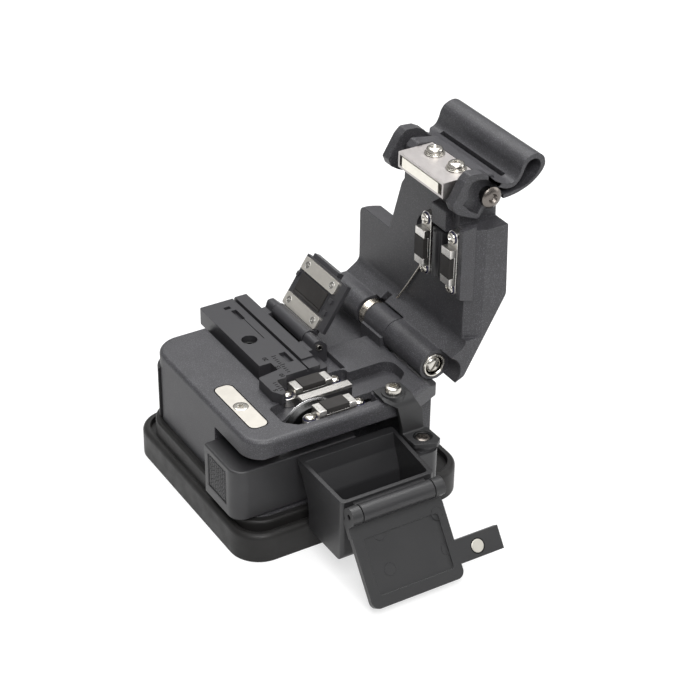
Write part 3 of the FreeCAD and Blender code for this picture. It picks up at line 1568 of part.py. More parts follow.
def scrap_lid():
    """The flap of the scrap box, with a recessed face and a tab for its magnet."""
    flap_high = flap_low + d.flap_thick
    leaf = plate((d.box_left + 0.2, knuckle_end + 0.3), (d.flap_axis_y + 2.4, flap_far), (flap_low, flap_high), sized(2.2))
    bevel = prism("x", [
        (flap_far - 0.5, flap_high + 0.1),
        (flap_far + 0.1, flap_low + 0.2),
        (flap_far + 1.0, flap_low + 0.2),
        (flap_far + 1.0, flap_high + 0.1),
    ], (d.box_left - 1, knuckle_end + 2))
    recess = plate(
        (d.box_left + 3.2, knuckle_end - 2.2),
        (d.flap_axis_y + 7.0, flap_far - 3.2),
        (flap_low - 1, flap_low + 0.5),
        sized(0.8),
    )
    tab = block(
        (knuckle_end - 2, tab_end),
        (d.flap_axis_y + tab_near, d.flap_axis_y + tab_near + tab_deep),
        (flap_low, flap_low + d.flap_thick),
    )
    magnet_well = rod("z", (d.striker_x, d.striker_y), (flap_low - 1, flap_low + 1.3), 2.0)
    knuckles = [
        joined(
            rod("x", (flap_front, flap_z), span, d.flap_barrel),
            prism("x", [
                (flap_front - 1.2, flap_z),
                (flap_front + d.flap_barrel, flap_z),
                (d.box_front - 0.35, flap_low),
                (d.flap_axis_y + 6.0, flap_low),
                (d.flap_axis_y + 6.0, flap_low + d.flap_thick),
                (d.flap_axis_y + 1.0, flap_low + d.flap_thick, 1.0),
            ], span),
        )
        for span in ((d.box_left, d.box_left + d.flap_knuckle), (knuckle_end - d.flap_knuckle, knuckle_end))
    ]
    room = rod("x", (flap_front, flap_z), (d.box_left + d.flap_knuckle, knuckle_end - d.flap_knuckle), d.flap_barrel + 0.35)
    shape = without(joined(without(without(leaf, bevel), recess, room), tab, *knuckles), magnet_well)
    bore = rod("x", (flap_front, flap_z), (d.box_left - 1, knuckle_end + 1), flap_pin + d.running_fit)
    shut = without(shape, bore)
    return part("scrap_lid", swing(shut, "x", (0, flap_front, flap_z), d.flap_open))


def scrap_magnet():
    """The round magnet in the tab of the scrap lid."""
    disc = rounded(rod("z", (d.striker_x, d.striker_y), (flap_low, flap_low + 1.3), 1.9), 0.15, level_at(flap_low))
    return part("scrap_magnet", swing(disc, "x", (0, flap_front, flap_z), d.flap_open))


def scrap_hinge_pin():
    """The pin of the scrap lid's hinge."""
    return part("scrap_hinge_pin", rod("x", (flap_front, flap_z), (d.box_left + 0.6, knuckle_end - 0.6), flap_pin))


scrap_box()
bracket_arm()
bracket_screw()
striker_screw()
scrap_lid()
scrap_magnet()
scrap_hinge_pin()


# --- check and write ---------------------------------------------------------------------------------

doc.recompute()
for item in doc.Objects:
    if "Invalid" in item.State or "Error" in item.State:
        raise RuntimeError(item.Name + " did not build: " + str(item.State))
for item in parts:
    if item.Shape.isNull() or not item.Shape.isValid() or not item.Shape.Solids:
        raise RuntimeError(item.Label + " has no valid shape")
os.makedirs("parts", exist_ok=True)
for item in parts:
    item.Shape.exportStep("parts/" + item.Label + ".step")
print(len(parts), "sub-parts")
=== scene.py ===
"""Fibre cleaver: materials, small hardware and studio."""

import math

import bmesh
import bpy
from mathutils import Matrix, Vector


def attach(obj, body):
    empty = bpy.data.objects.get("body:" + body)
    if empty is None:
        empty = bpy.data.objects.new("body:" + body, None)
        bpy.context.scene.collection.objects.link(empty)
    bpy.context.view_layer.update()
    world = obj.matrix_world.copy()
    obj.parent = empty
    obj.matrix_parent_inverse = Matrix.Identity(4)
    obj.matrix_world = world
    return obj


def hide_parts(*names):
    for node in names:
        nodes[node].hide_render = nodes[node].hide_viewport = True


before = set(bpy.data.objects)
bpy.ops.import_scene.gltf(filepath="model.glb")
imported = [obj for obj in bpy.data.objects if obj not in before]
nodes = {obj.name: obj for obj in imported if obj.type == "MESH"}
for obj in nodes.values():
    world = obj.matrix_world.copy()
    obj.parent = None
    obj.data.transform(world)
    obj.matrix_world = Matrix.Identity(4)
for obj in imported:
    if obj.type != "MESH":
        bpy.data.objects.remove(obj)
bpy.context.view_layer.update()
scene = bpy.context.scene
MM = 0.001


# --- shader nodes ------------------------------------------------------------------


class Wire:
    """A node's output that Python arithmetic can be written on."""

    def __init__(self, board, socket):
        self.board = board
        self.socket = socket

    def __add__(self, other):
        return self.board.node("ShaderNodeMath", {"operation": "ADD"}, [self, other])

    __radd__ = __add__


class Board:
    """An empty node tree and the one way in which nodes are added to it."""

    def __init__(self, owner):
        owner.use_nodes = True
        self.tree = owner.node_tree
        self.tree.nodes.clear()

    def feed(self, made, inputs):
        """Link or set a node's sockets, each known by its name or its number."""
        for name, value in inputs.items():
            if isinstance(value, Wire):
                self.tree.links.new(value.socket, made.inputs[name])
            else:
                made.inputs[name].default_value = value

    def node(self, kind, settings, inputs, output=0):
        """Add a node: its settings first, then the values or links of its sockets."""
        made = self.tree.nodes.new(kind)
        for name, value in settings.items():
            setattr(made, name, value)
        self.feed(made, inputs if isinstance(inputs, dict) else dict(enumerate(inputs)))
        return Wire(self, made.outputs[output]) if made.outputs else None

    def spread(self, value, taken, given):
        """A value carried from one range to another and held at its ends."""
        low, high = taken
        to_low, to_high = given
        inputs = {"Value": value, "From Min": low, "From Max": high, "To Min": to_low, "To Max": to_high}
        return self.node("ShaderNodeMapRange", {"clamp": True}, inputs)


class Finish(Board):
    """A material with one main shader, and the patterns that feed it."""

    def __init__(self, name):
        self.material = bpy.data.materials.new(name)
        super().__init__(self.material)
        surface = self.node("ShaderNodeBsdfPrincipled", {}, {})
        self.node("ShaderNodeOutputMaterial", {}, {"Surface": surface})
        self.shader = surface.socket.node

    def place(self):
        """Where the point lies in its own piece."""
        return self.node("ShaderNodeTexCoord", {}, {}, "Object")

    def stretched(self, scale):
        """The place drawn out along the axes whose scale is small."""
        inputs = {"Vector": self.place(), "Scale": scale}
        return self.node("ShaderNodeMapping", {"vector_type": "POINT"}, inputs)

    def grain(self, size, detail=2.0, where=None):
        """Soft random mottling, its size in metres."""
        inputs = {"Vector": where or self.place(), "Scale": 1 / size, "Detail": detail}
        return self.node("ShaderNodeTexNoise", {}, inputs)

    def mixed(self, amount, first, second, blend="MIX"):
        """Two colours mixed; the node's colour sockets go by number."""
        settings = {"data_type": "RGBA", "blend_type": blend}
        return self.node("ShaderNodeMix", settings, {0: amount, 6: first, 7: second}, 2)

    def bumped(self, height, reach, strength, edge):
        """Fine relief over edges that are shaded round."""
        rounded_edge = self.node("ShaderNodeBevel", {"samples": 4}, {"Radius": edge})
        inputs = {"Height": height, "Distance": reach, "Strength": strength, "Normal": rounded_edge}
        return self.node("ShaderNodeBump", {}, inputs)

    def set(self, **values):
        """Feed the main shader, with _ for the space in a socket's name."""
        self.feed(self.shader, {name.replace("_", " "): value for name, value in values.items()})


def grey(level, tint=(1.0, 1.0, 1.0)):
    """A grey of the given level, warmed or cooled by the tint."""
    return (level * tint[0], level * tint[1], level * tint[2], 1.0)


# --- finishes ----------------------------------------------------------------------


def powder_coat(name, base, bright, rough):
    """Textured powder coat: fine pale specks on a dark ground."""
    f = Finish(name)
    fine = f.grain(size=0.00024)
    specks = f.spread(fine, (0.52, 0.70), (0.0, 1.0))
    patch = f.spread(f.grain(size=0.006), (0.3, 0.7), (0.9, 1.1))
    shade = f.node("ShaderNodeCombineColor", {}, [patch, patch, patch])
    f.set(Base_Color=f.mixed(1.0, f.mixed(specks, base, bright), shade, "MULTIPLY"))
    f.set(Roughness=f.spread(fine, (0.35, 0.7), (rough - 0.06, rough + 0.06)))
    f.set(Normal=f.bumped(f.grain(size=0.0003), reach=0.00004, strength=0.55, edge=0.00035))
    return f.material


def moulding(name, base, rough, edge=0.0003):
    """Smooth moulded plastic with a faint fine texture."""
    f = Finish(name)
    cloud = f.grain(size=0.009)
    darker = tuple(c * 0.86 for c in base[:3]) + (1.0,)
    f.set(Base_Color=f.mixed(f.spread(cloud, (0.35, 0.65), (0.0, 1.0)), base, darker))
    f.set(Roughness=f.spread(cloud, (0.3, 0.7), (rough - 0.04, rough + 0.05)))
    f.set(Normal=f.bumped(f.grain(size=0.00025), reach=0.000012, strength=0.6, edge=edge))
    return f.material


def rubber(name, base, rough):
    """Matt rubber with faint bloom."""
    f = Finish(name)
    bloom = f.spread(f.grain(size=0.012, detail=4.0), (0.45, 0.75), (0.0, 0.35))
    dusty = tuple(min(1.0, c * 1.8 + 0.01) for c in base[:3]) + (1.0,)
    f.set(Base_Color=f.mixed(bloom, base, dusty), Specular_IOR_Level=0.24)
    f.set(Roughness=f.spread(f.grain(size=0.004), (0.3, 0.7), (rough - 0.05, rough + 0.06)))
    f.set(Normal=f.bumped(f.grain(size=0.0002), reach=0.00001, strength=0.5, edge=0.0003))
    return f.material


def metal(name, base, rough, lines=(1.0, 1.0, 1.0)):
    """Plated or ground metal with fine marks, drawn out where a number in lines is small."""
    f = Finish(name)
    marks = f.grain(size=0.0002, detail=3.0, where=f.stretched(lines))
    cloud = f.spread(f.grain(size=0.003, detail=3.0), (0.45, 0.75), (0.0, 0.6))
    tarnish = tuple(c * 0.88 for c in base[:3]) + (1.0,)
    f.set(Base_Color=f.mixed(cloud, base, tarnish), Metallic=1.0)
    f.set(Roughness=f.spread(marks, (0.3, 0.7), (rough - 0.05, rough + 0.08)))
    f.set(Normal=f.bumped(marks, reach=0.000004, strength=0.35, edge=0.00012))
    return f.material


COAT_TINT = (1.01, 0.99, 1.1)
SPECK_TINT = (1, 0.99, 1.08)

casting_coat = powder_coat("casting powder coat", grey(0.034, COAT_TINT), grey(0.11, SPECK_TINT), 0.5)
handle_coat = powder_coat("handle powder coat", grey(0.030, COAT_TINT), grey(0.095, SPECK_TINT), 0.48)
skirt_rubber = rubber("skirt rubber", grey(0.016, (1.04, 1, 0.98)), 0.46)
pad_rubber = rubber("pad rubber", grey(0.024, (1.08, 1, 0.95)), 0.6)
slider_plastic = moulding("slider plastic", grey(0.026, (1.01, 0.99, 1.06)), 0.42)
box_plastic = moulding("scrap box plastic", grey(0.022, (1, 0.99, 1.05)), 0.4)
flap_plastic = moulding("scrap lid plastic", grey(0.024, (1, 1, 1.04)), 0.42)
adapter_satin = moulding("adapter anodising", grey(0.034, (1, 0.98, 1.08)), 0.4, 0.0002)
arm_paint = moulding("bracket paint", grey(0.022, (1, 1, 1.04)), 0.44)
dark_steel = metal("blackened steel", grey(0.05), 0.4)
ivory_nickel = metal("keeper nickel", grey(0.58, (1, 0.955, 0.87)), 0.42, (0.1, 1, 1))
nickel = metal("nickel plate", grey(0.70, (1, 0.975, 0.93)), 0.3, (0.2, 1, 1))
holder_nickel = metal("holder nickel", grey(0.50, (1, 0.95, 0.93)), 0.4, (1, 0.1, 1))
bright_steel = metal("screw plating", grey(0.56, (1, 0.96, 0.88)), 0.2)
ground_steel = metal("ground blade steel", grey(0.80), 0.16, (1, 1, 0.1))
plain_steel = metal("plain steel", grey(0.62), 0.3, (1, 0.1, 1))
bronze_steel = metal("dark nickel screw", grey(0.17, (1, 0.9, 0.82)), 0.26)
magnet_plate = metal("magnet plating", grey(0.84, (1, 0.965, 0.87)), 0.36)
spring_wire = metal("spring wire", grey(0.62, (1, 0.93, 0.82)), 0.24)
lock_blue = moulding("thread locker", (0.010, 0.010, 0.045, 1.0), 0.25)
mark_paint = rubber("scale paint", grey(0.002), 0.85)
strip_nickel = metal("strip nickel", grey(0.92, (1, 0.96, 0.88)), 0.34, (1, 0.1, 1))
# flat black for the painted shadow in the gaps round the keeper plate and the flap's magnet
shadow_black = rubber("painted gap shadow", grey(0.002), 0.85)

NODE_FINISHES = {
    "main_body": casting_coat,
    "lid_casting": casting_coat,
    "rear_cover": arm_paint,
    "release_handle": handle_coat,
    "base_skirt": skirt_rubber,
    "base_plate": plain_steel,
    "base_plate_screws": bright_steel,
    "keeper_plate": ivory_nickel,
    "keeper_screw": bright_steel,
    "adapter_plate": adapter_satin,
    "adapter_screw": dark_steel,
    "clamp_lid": adapter_satin,
    "clamp_strip_near": strip_nickel,
    "clamp_strip_far": strip_nickel,
    "clamp_screws": bright_steel,
    "clamp_pad": pad_rubber,
    "clamp_pin": bright_steel,
    "rear_lower_bracket": nickel,
    "front_lower_bracket": nickel,
    "rear_lower_pad": pad_rubber,
    "front_lower_pad": pad_rubber,
    "lower_pad_screws": bright_steel,
    "guide_block": box_plastic,
    "guide_strip": nickel,
    "blade_disc": ground_steel,
    "blade_hub": dark_steel,
    "blade_axle": plain_steel,
    "slider_cover": slider_plastic,
    "thumb_grip": slider_plastic,
    "blade_carriage": adapter_satin,
    "slide_rail": plain_steel,
    "rear_upper_bracket": nickel,
    "front_upper_bracket": nickel,
    "rear_upper_pad": pad_rubber,
    "front_upper_pad": pad_rubber,
    "upper_pad_screws": bright_steel,
    "anvil": box_plastic,
    "magnet_holder": holder_nickel,
    "lid_magnet": magnet_plate,
    "magnet_screws": bright_steel,
    "hinge_pin": plain_steel,
    "hinge_bush": nickel,
    "lid_spring": bright_steel,
    "pivot_screws": bronze_steel,
    "scrap_box": box_plastic,
    "bracket_arm": arm_paint,
    "bracket_screw": bright_steel,
    "striker_screw": bronze_steel,
    "scrap_lid": flap_plastic,
    "scrap_magnet": magnet_plate,
    "scrap_hinge_pin": dark_steel,
}

for name, node in nodes.items():
    node.data.materials.clear()
    node.data.materials.append(NODE_FINISHES[name])


# --- making tools ------------------------------------------------------------------

CORNER_STEPS = 5
CURVE_STEPS = 5


def rectangle(low_u, high_u, low_v, high_v):
    """The four corners, in turn."""
    return [(low_u, low_v), (high_u, low_v), (high_u, high_v), (low_u, high_v)]


def softened(points):
    """An outline whose corners with a third number are rounded to that radius."""
    outline = []
    for number, corner in enumerate(points):
        here = Vector(corner[:2])
        if len(corner) < 3:
            outline.append(tuple(here))
            continue
        before = (Vector(points[number - 1][:2]) - here).normalized()
        after = (Vector(points[(number + 1) % len(points)][:2]) - here).normalized()
        half = before.angle(after) / 2
        middle = here + (before + after).normalized() * corner[2] / math.sin(half)
        reach = corner[2] / math.tan(half)
        start = here + before * reach - middle
        end = here + after * reach - middle
        sweep = start.angle_signed(end)
        for step in range(CORNER_STEPS + 1):
            turn = Matrix.Rotation(-sweep * step / CORNER_STEPS, 2)
            outline.append(tuple(middle + turn @ start))
    return outline


def frame_along(direction):
    """The given direction, and two more square to it and to one another."""
    along = Vector(direction).normalized()
    helper = Vector((0, 0, 1)) if abs(along.z) < 0.9 else Vector((0, 1, 0))
    side = helper.cross(along).normalized()
    return along, side, along.cross(side)


def strip(bm, low, high):
    """Faces between two closed rows of points; a row of one point is a tip."""
    count = max(len(low), len(high))
    for here in range(count):
        after = (here + 1) % count
        if len(low) == 1:
            bm.faces.new((low[0], high[after], high[here]))
        elif len(high) == 1:
            bm.faces.new((low[here], low[after], high[0]))
        else:
            bm.faces.new((low[here], low[after], high[after], high[here]))


def turned(bm, centre, direction, profile, turns=40):
    """A turned form from pairs of radius and distance along the axis."""
    along, side, up = frame_along(direction)
    rows = []
    for radius, distance in profile:
        middle = Vector(centre) + along * distance
        if radius == 0:
            rows.append([bm.verts.new(middle * MM)])
            continue
        angles = [2 * math.pi * turn / turns for turn in range(turns)]
        spots = [middle + (side * math.cos(a) + up * math.sin(a)) * radius for a in angles]
        rows.append([bm.verts.new(spot * MM) for spot in spots])
    for low, high in zip(rows, rows[1:]):
        strip(bm, low, high)
    if len(rows[0]) > 1 and len(rows[-1]) > 1:
        strip(bm, rows[-1], rows[0])


def pulled(bm, outline, span, place):
    """An outline pulled between two levels; place turns (u, v, level) into a point."""
    rows = [[bm.verts.new(Vector(place(u, v, level)) * MM) for u, v in outline] for level in span]
    strip(bm, rows[0], rows[1])
    bm.faces.new(rows[0])
    bm.faces.new(rows[1])


def up_y(u, v, level):
    """For an outline in x and z, pulled along y."""
    return (u, level, v)


def up_z(u, v, level):
    """For an outline in x and y, pulled along z."""
    return (u, v, level)


def mesh_from(bm, name):
    """A mesh from the working copy, its faces turned outwards; the working copy is freed."""
    bmesh.ops.recalc_face_normals(bm, faces=bm.faces)
    mesh = bpy.data.meshes.new(name)
    bm.to_mesh(mesh)
    bm.free()
    return mesh


def worked(mesh, tool_mesh, operation):
    """A mesh after a cut by, or a join with, another."""
    body = bpy.data.objects.new("blank", mesh)
    tool = bpy.data.objects.new("cutter", tool_mesh)
    for item in (body, tool):
        scene.collection.objects.link(item)
    step = body.modifiers.new("step", "BOOLEAN")
    step.operation = operation
    step.object = tool
    step.solver = "EXACT"
    step.use_self = True
    graph = bpy.context.evaluated_depsgraph_get()
    made = bpy.data.meshes.new_from_object(body.evaluated_get(graph), depsgraph=graph)
    bpy.data.objects.remove(body)
    bpy.data.objects.remove(tool)
    return made


def piece(name, body, finish, mesh, replaced=(), round_edge=0.0, smooth=35.0):
    """A finished piece: its shading and finish, its body and the nodes it stands for."""
    item = bpy.data.objects.new(name, mesh)
    scene.collection.objects.link(item)
    mesh.name = name
    mesh.materials.clear()
    mesh.materials.append(finish)
    mesh.polygons.foreach_set("use_smooth", [True] * len(mesh.polygons))
    mesh.set_sharp_from_angle(angle=math.radians(smooth))
    if round_edge:
        softener = item.modifiers.new("soft edges", "BEVEL")
        softener.width = round_edge * MM
        softener.segments = 2
        softener.limit_method = "ANGLE"
        softener.angle_limit = math.radians(40)
    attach(item, body)
    if replaced:
        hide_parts(*replaced)


def cross_cut(bm, centre, direction, arm, width, deep, turn):
    """Two crossed bars that cut a recess into a screw's head and narrow towards its bottom."""
    bottom_share = 0.45
    clear_above = 0.5
    along, side, up = frame_along(direction)
    for quarter in (0, 1):
        angle = math.radians(turn + 90 * quarter)
        long_way = side * math.cos(angle) + up * math.sin(angle)
        wide_way = along.cross(long_way)
        corners = []
        for depth, share in ((-deep, bottom_share), (clear_above, 1.0)):
            middle = Vector(centre) + along * depth
            for a, b in rectangle(-1, 1, -1, 1):
                spot = middle + long_way * a * arm * share + wide_way * b * width / 2
                corners.append(bm.verts.new(spot * MM))
        strip(bm, corners[:4], corners[4:])
        bm.faces.new(corners[:4])
        bm.faces.new(corners[4:])


def pan_profile(radius, high):
    """The half-section of a pan head, from its seat to its crown."""
    return [(radius * 0.9, 0), (radius, high * 0.12), (radius, high * 0.42), (radius * 0.93, high * 0.7),
            (radius * 0.75, high * 0.9), (radius * 0.4, high), (0, high * 1.02)]


def cross_heads(name, body, node, places, direction, head, shank, rings=(), deep=None):
    """Cross-recessed pan heads, each over any washers and with a stub below."""
    radius, high = head
    shank_radius, shank_long = shank
    stub = [(0, 0), (shank_radius, 0), (shank_radius, shank_long), (0, shank_long)]
    first_turn, turn_apart = 20, 37
    solid = bmesh.new()
    cuts = bmesh.new()
    along = Vector(direction).normalized()
    for number, place in enumerate(places):
        seat = Vector(place)
        for ring_radius, ring_thick in rings:
            edge = ring_thick * 0.3
            profile = [
                (0, 0), (ring_radius - edge, 0), (ring_radius, edge),
                (ring_radius, ring_thick - edge), (ring_radius - edge, ring_thick), (0, ring_thick),
            ]
            turned(solid, seat, direction, profile)
            seat = seat + along * ring_thick
        turned(solid, seat, direction, [(0, 0)] + pan_profile(radius, high))
        turned(solid, place, -along, stub, 20)
        arm, width = radius * 0.62, radius * 0.24
        turn = first_turn + turn_apart * number
        cross_cut(cuts, seat + along * high, direction, arm, width, deep or high * 0.55, turn)
    mesh = worked(mesh_from(solid, name), mesh_from(cuts, name + "_cut"), "DIFFERENCE")
    piece(name, body, bright_steel, mesh, (node,))


# --- release handle ----------------------------------------------------------------

EAR_FRONT = -28.4
NEAR_EAR = (EAR_FRONT, EAR_FRONT + 3.2)
FAR_EAR = (3.2, 6.4)
GRIP_END = 11.0
RECESS_DEEP = 1.9
BAND_START = 45.6
PIVOT = (43.2, 91.0)
NEAR_FACE = [
    (31.0, 90.6, 0.5), (34.6, 96.7, 1.6), (36.4, 98.4, 1.2), (40.2, 98.1, 1.2), (42.4, 96.9),
    (44.0, 95.1), (46.6, 93.6), (45.6, 92.6), (44.4, 89.4), (42.2, 87.6), (41.2, 87.4),
    (39.8, 85.0, 0.6), (39.0, 84.9), (34.2, 86.9), (31.9, 88.4, 0.5),
]
RECESS = [
    (42.0, 95.6), (41.0, 96.1), (39.0, 96.4), (37.1, 96.0), (36.2, 94.8), (35.8, 93.4),
    (36.0, 91.7), (34.4, 90.2), (36.9, 87.6), (39.2, 86.2), (39.8, 87.3), (40.6, 88.6),
    (44.0, 88.6), (45.0, 93.4),
]
BAND_OUTER = [
    (42.0, 97.2), (44.0, 95.1), (45.8, 93.9), (48.1, 93.1), (50.1, 92.8), (51.5, 93.6),
    (52.4, 95.2), (53.0, 97.1), (54.1, 98.6), (56.0, 99.5), (57.8, 99.6), (59.6, 98.6),
    (60.4, 97.1), (60.4, 95.4), (59.1, 93.3), (56.2, 91.0), (52.8, 89.6), (49.9, 89.0),
    (47.4, 88.8),
]
BAND_INNER = [
    (42.4, 95.0), (44.1, 93.6), (46.1, 92.4), (48.4, 91.5), (50.7, 91.6), (52.3, 92.9),
    (53.4, 94.7), (54.2, 96.6), (55.2, 97.8), (56.8, 98.2), (58.2, 97.7), (59.0, 96.4),
    (58.9, 94.9), (57.3, 92.7), (54.7, 91.1), (51.8, 90.4), (49.1, 90.0), (47.3, 89.9),
]


def flowing(points):
    """A smooth curve through the points."""
    spots = [Vector(p) for p in points]
    spots = [spots[0] * 2 - spots[1]] + spots + [spots[-1] * 2 - spots[-2]]
    curve = []
    for a, b, c, e in zip(spots, spots[1:], spots[2:], spots[3:]):
        for step in range(CURVE_STEPS):
            t = step / CURVE_STEPS
            square = (2 * a - 5 * b + 4 * c - e) * t * t
            cube = (3 * b - a - 3 * c + e) * t ** 3
            curve.append(0.5 * (2 * b + (c - a) * t + square + cube))
    curve.append(spots[-2])
    return [tuple(spot) for spot in curve]


def far_edge(u):
    """How far back the band reaches: level with the far ear, then flared out to the grip's end."""
    flare_long = 4.6
    t = min(1.0, max(0.0, (u - BAND_START) / flare_long))
    return FAR_EAR[1] + (GRIP_END - FAR_EAR[1]) * t * t * (3 - 2 * t)


def curled_band():
    """The web that dips between the ears and rolls over into the hollow grip."""
    bm = bmesh.new()
    section = flowing(BAND_OUTER) + flowing(BAND_INNER[::-1])
    columns = 7
    rows = []
    for column in range(columns):
        t = column / (columns - 1)
        spots = [Vector((u, EAR_FRONT + (far_edge(u) - EAR_FRONT) * t, v)) for u, v in section]
        rows.append([bm.verts.new(spot * MM) for spot in spots])
    for low, high in zip(rows, rows[1:]):
        strip(bm, low, high)
    for row in (rows[0], rows[-1]):
        last = len(row) - 1
        for number in range(len(row) // 2 - 1):
            bm.faces.new((row[number], row[number + 1], row[last - number - 1], row[last - number]))
    bmesh.ops.triangulate(bm, faces=[f for f in bm.faces if len(f.verts) > 4])
    return mesh_from(bm, "band")


def release_handle():
    """Two ears with shallow recesses, joined by the band, and a slot through the band's dip."""
    mesh = curled_band()
    for span in (NEAR_EAR, FAR_EAR):
        ear = bmesh.new()
        pulled(ear, softened(NEAR_FACE), span, up_y)
        mesh = worked(mesh, mesh_from(ear, "ear"), "UNION")
    cuts = bmesh.new()
    pulled(cuts, RECESS, (EAR_FRONT - 1, EAR_FRONT + RECESS_DEEP), up_y)
    pulled(cuts, RECESS, (FAR_EAR[1] - RECESS_DEEP, FAR_EAR[1] + 0.02), up_y)
    slot = rectangle(49.7, 51.0, -23.6, 6.4)
    pulled(cuts, slot, (91.0, 96.0), up_z)
    between_ears = rectangle(40.0, BAND_START, NEAR_EAR[1], FAR_EAR[0])
    pulled(cuts, between_ears, (84.0, 102.0), up_z)
    mesh = worked(mesh, mesh_from(cuts, "cuts"), "DIFFERENCE")
    piece("curled_release_handle", "handle", handle_coat, mesh, ("release_handle",),
          smooth=40)


release_handle()


def pivot_screws():
    """Flanged screws with star recesses on dark shoulders, one in each ear."""
    shoulder = [(0, 0), (2.2, 0), (2.2, 2.4), (1.8, 2.6), (0, 2.6)]
    flanged = [(0, 0), (2.95, 0), (3.05, 0.15), (3.05, 0.45), (2.6, 0.85), (1.8, 1.15), (0, 1.25)]
    head_seat, star_top = 2.5, 3.65
    x, z = PIVOT[0] - 0.4, PIVOT[1] - 0.3
    heads = bmesh.new()
    cuts = bmesh.new()
    shoulders = bmesh.new()
    for floor_y, way in ((EAR_FRONT + RECESS_DEEP, -1), (FAR_EAR[1] - RECESS_DEEP, 1)):
        outward = (0, way, 0)
        turned(shoulders, (x, floor_y, z), outward, shoulder)
        turned(heads, (x, floor_y + way * head_seat, z), outward, flanged)
        for turn in (0, 60, 120):
            star = (x, floor_y + way * star_top, z)
            cross_cut(cuts, star, outward, arm=1.7, width=0.8, deep=0.8, turn=turn)
    mesh = worked(mesh_from(heads, "heads"), mesh_from(cuts, "stars"), "DIFFERENCE")
    piece("pivot_star_screws", "lid", bronze_steel, mesh, ("pivot_screws",))
    piece("pivot_shoulders", "lid", dark_steel, mesh_from(shoulders, "shoulders"))


pivot_screws()

# --- screws ------------------------------------------------------------------------

PAD_ROWS = (-13.3, -26.2)
LOWER_SCREWS = [(x, y, 36.2) for x in (-11.0, 4.4) for y in PAD_ROWS]
UPPER_SCREWS = [(33.2, y, z) for y in PAD_ROWS for z in (64.3, 79.7)]
UP = (0, 0, 1)
FROM_LID = (-1, 0, 0)

cross_heads("magnet_holder_screws", "lid", "magnet_screws", [(38.5, -18.5, 95.7), (38.5, -8.1, 95.7)], UP,
            head=(2.35, 1.35), shank=(1.1, 4.5), rings=((2.9, 0.35), (2.55, 0.3)))
cross_heads("lower_bracket_screws", "base", "lower_pad_screws", LOWER_SCREWS, UP,
            head=(1.6, 1.08), shank=(0.75, 4.0))
cross_heads("upper_bracket_screws", "lid", "upper_pad_screws", UPPER_SCREWS, FROM_LID,
            head=(1.6, 1.05), shank=(0.75, 3.6))
cross_heads("keeper_cross_screw", "base", "keeper_screw", [(-24.9, -12.7, 36.8)], UP,
            head=(2.2, 0.35), shank=(0.85, 4.5), deep=0.6)


def thread_lock():
    """A trace of dried blue thread locker round the bracket screws."""
    bead = [(1.0, -0.02), (1.85, 0.0), (1.8, 0.14), (1.6, 0.34), (1.0, 0.36)]
    for name, body, places, way in (
        ("lower_thread_lock", "base", LOWER_SCREWS, UP),
        ("upper_thread_lock", "lid", UPPER_SCREWS, FROM_LID),
    ):
        bm = bmesh.new()
        for place in places:
            turned(bm, place, way, bead, 28)
        piece(name, body, lock_blue, mesh_from(bm, name))


thread_lock()


def bracket_cap_screw():
    """The button cap screw that holds the scrap box's arm, with a six-sided socket."""
    x, y, z = seat = (13.4, -29.6, 38.9)
    socket_floor = 0.8
    button = [(0, 0), (2.15, 0), (2.3, 0.2), (2.3, 1.2), (2.1, 1.65), (1.6, 1.9), (0, 1.9)]
    shank = [(0, 0), (1.25, 0), (1.25, 6.6), (0, 6.6)]
    socket = [(0, 0), (1.15, 0), (1.15, 2), (0, 2)]
    solid = bmesh.new()
    turned(solid, seat, UP, button)
    turned(solid, seat, (0, 0, -1), shank, 20)
    cut = bmesh.new()
    turned(cut, (x, y, z + socket_floor), UP, socket, 6)
    mesh = worked(mesh_from(solid, "cap"), mesh_from(cut, "socket"), "DIFFERENCE")
    piece("arm_cap_screw", "base", bright_steel, mesh, ("bracket_screw",))


def striker():
    """The dark cross-head striker that the flap's magnet meets, inside its ring."""
    x, y, z = middle = (18.4, -37.6, 26.3)
    high = 0.72
    head = [(0, 0), (1.75, 0), (1.95, 0.15), (1.95, 0.45), (1.5, 0.68), (0, high)]
    shank = [(0, 0), (1.3, 0), (1.3, 7), (0, 7)]
    around = [(2.1, -0.1), (2.6, -0.1), (2.6, 0.55), (2.45, 0.68), (2.2, 0.68), (2.1, 0.55)]
    solid = bmesh.new()
    turned(solid, middle, UP, head)
    turned(solid, middle, (0, 0, -1), shank, 20)
    cut = bmesh.new()
    cross_cut(cut, (x, y, z + high), UP, arm=1.25, width=0.45, deep=0.5, turn=15)
    mesh = worked(mesh_from(solid, "striker"), mesh_from(cut, "cross"), "DIFFERENCE")
    piece("striker_cross_screw", "base", bronze_steel, mesh, ("striker_screw",))
    ring = bmesh.new()
    turned(ring, middle, UP, around)
    piece("striker_ring", "base", dark_steel, mesh_from(ring, "ring"))


bracket_cap_screw()
striker()

# --- hinge pin ---------------------------------------------------------------------

HINGE_X, HINGE_Z = 29.4, 40.0


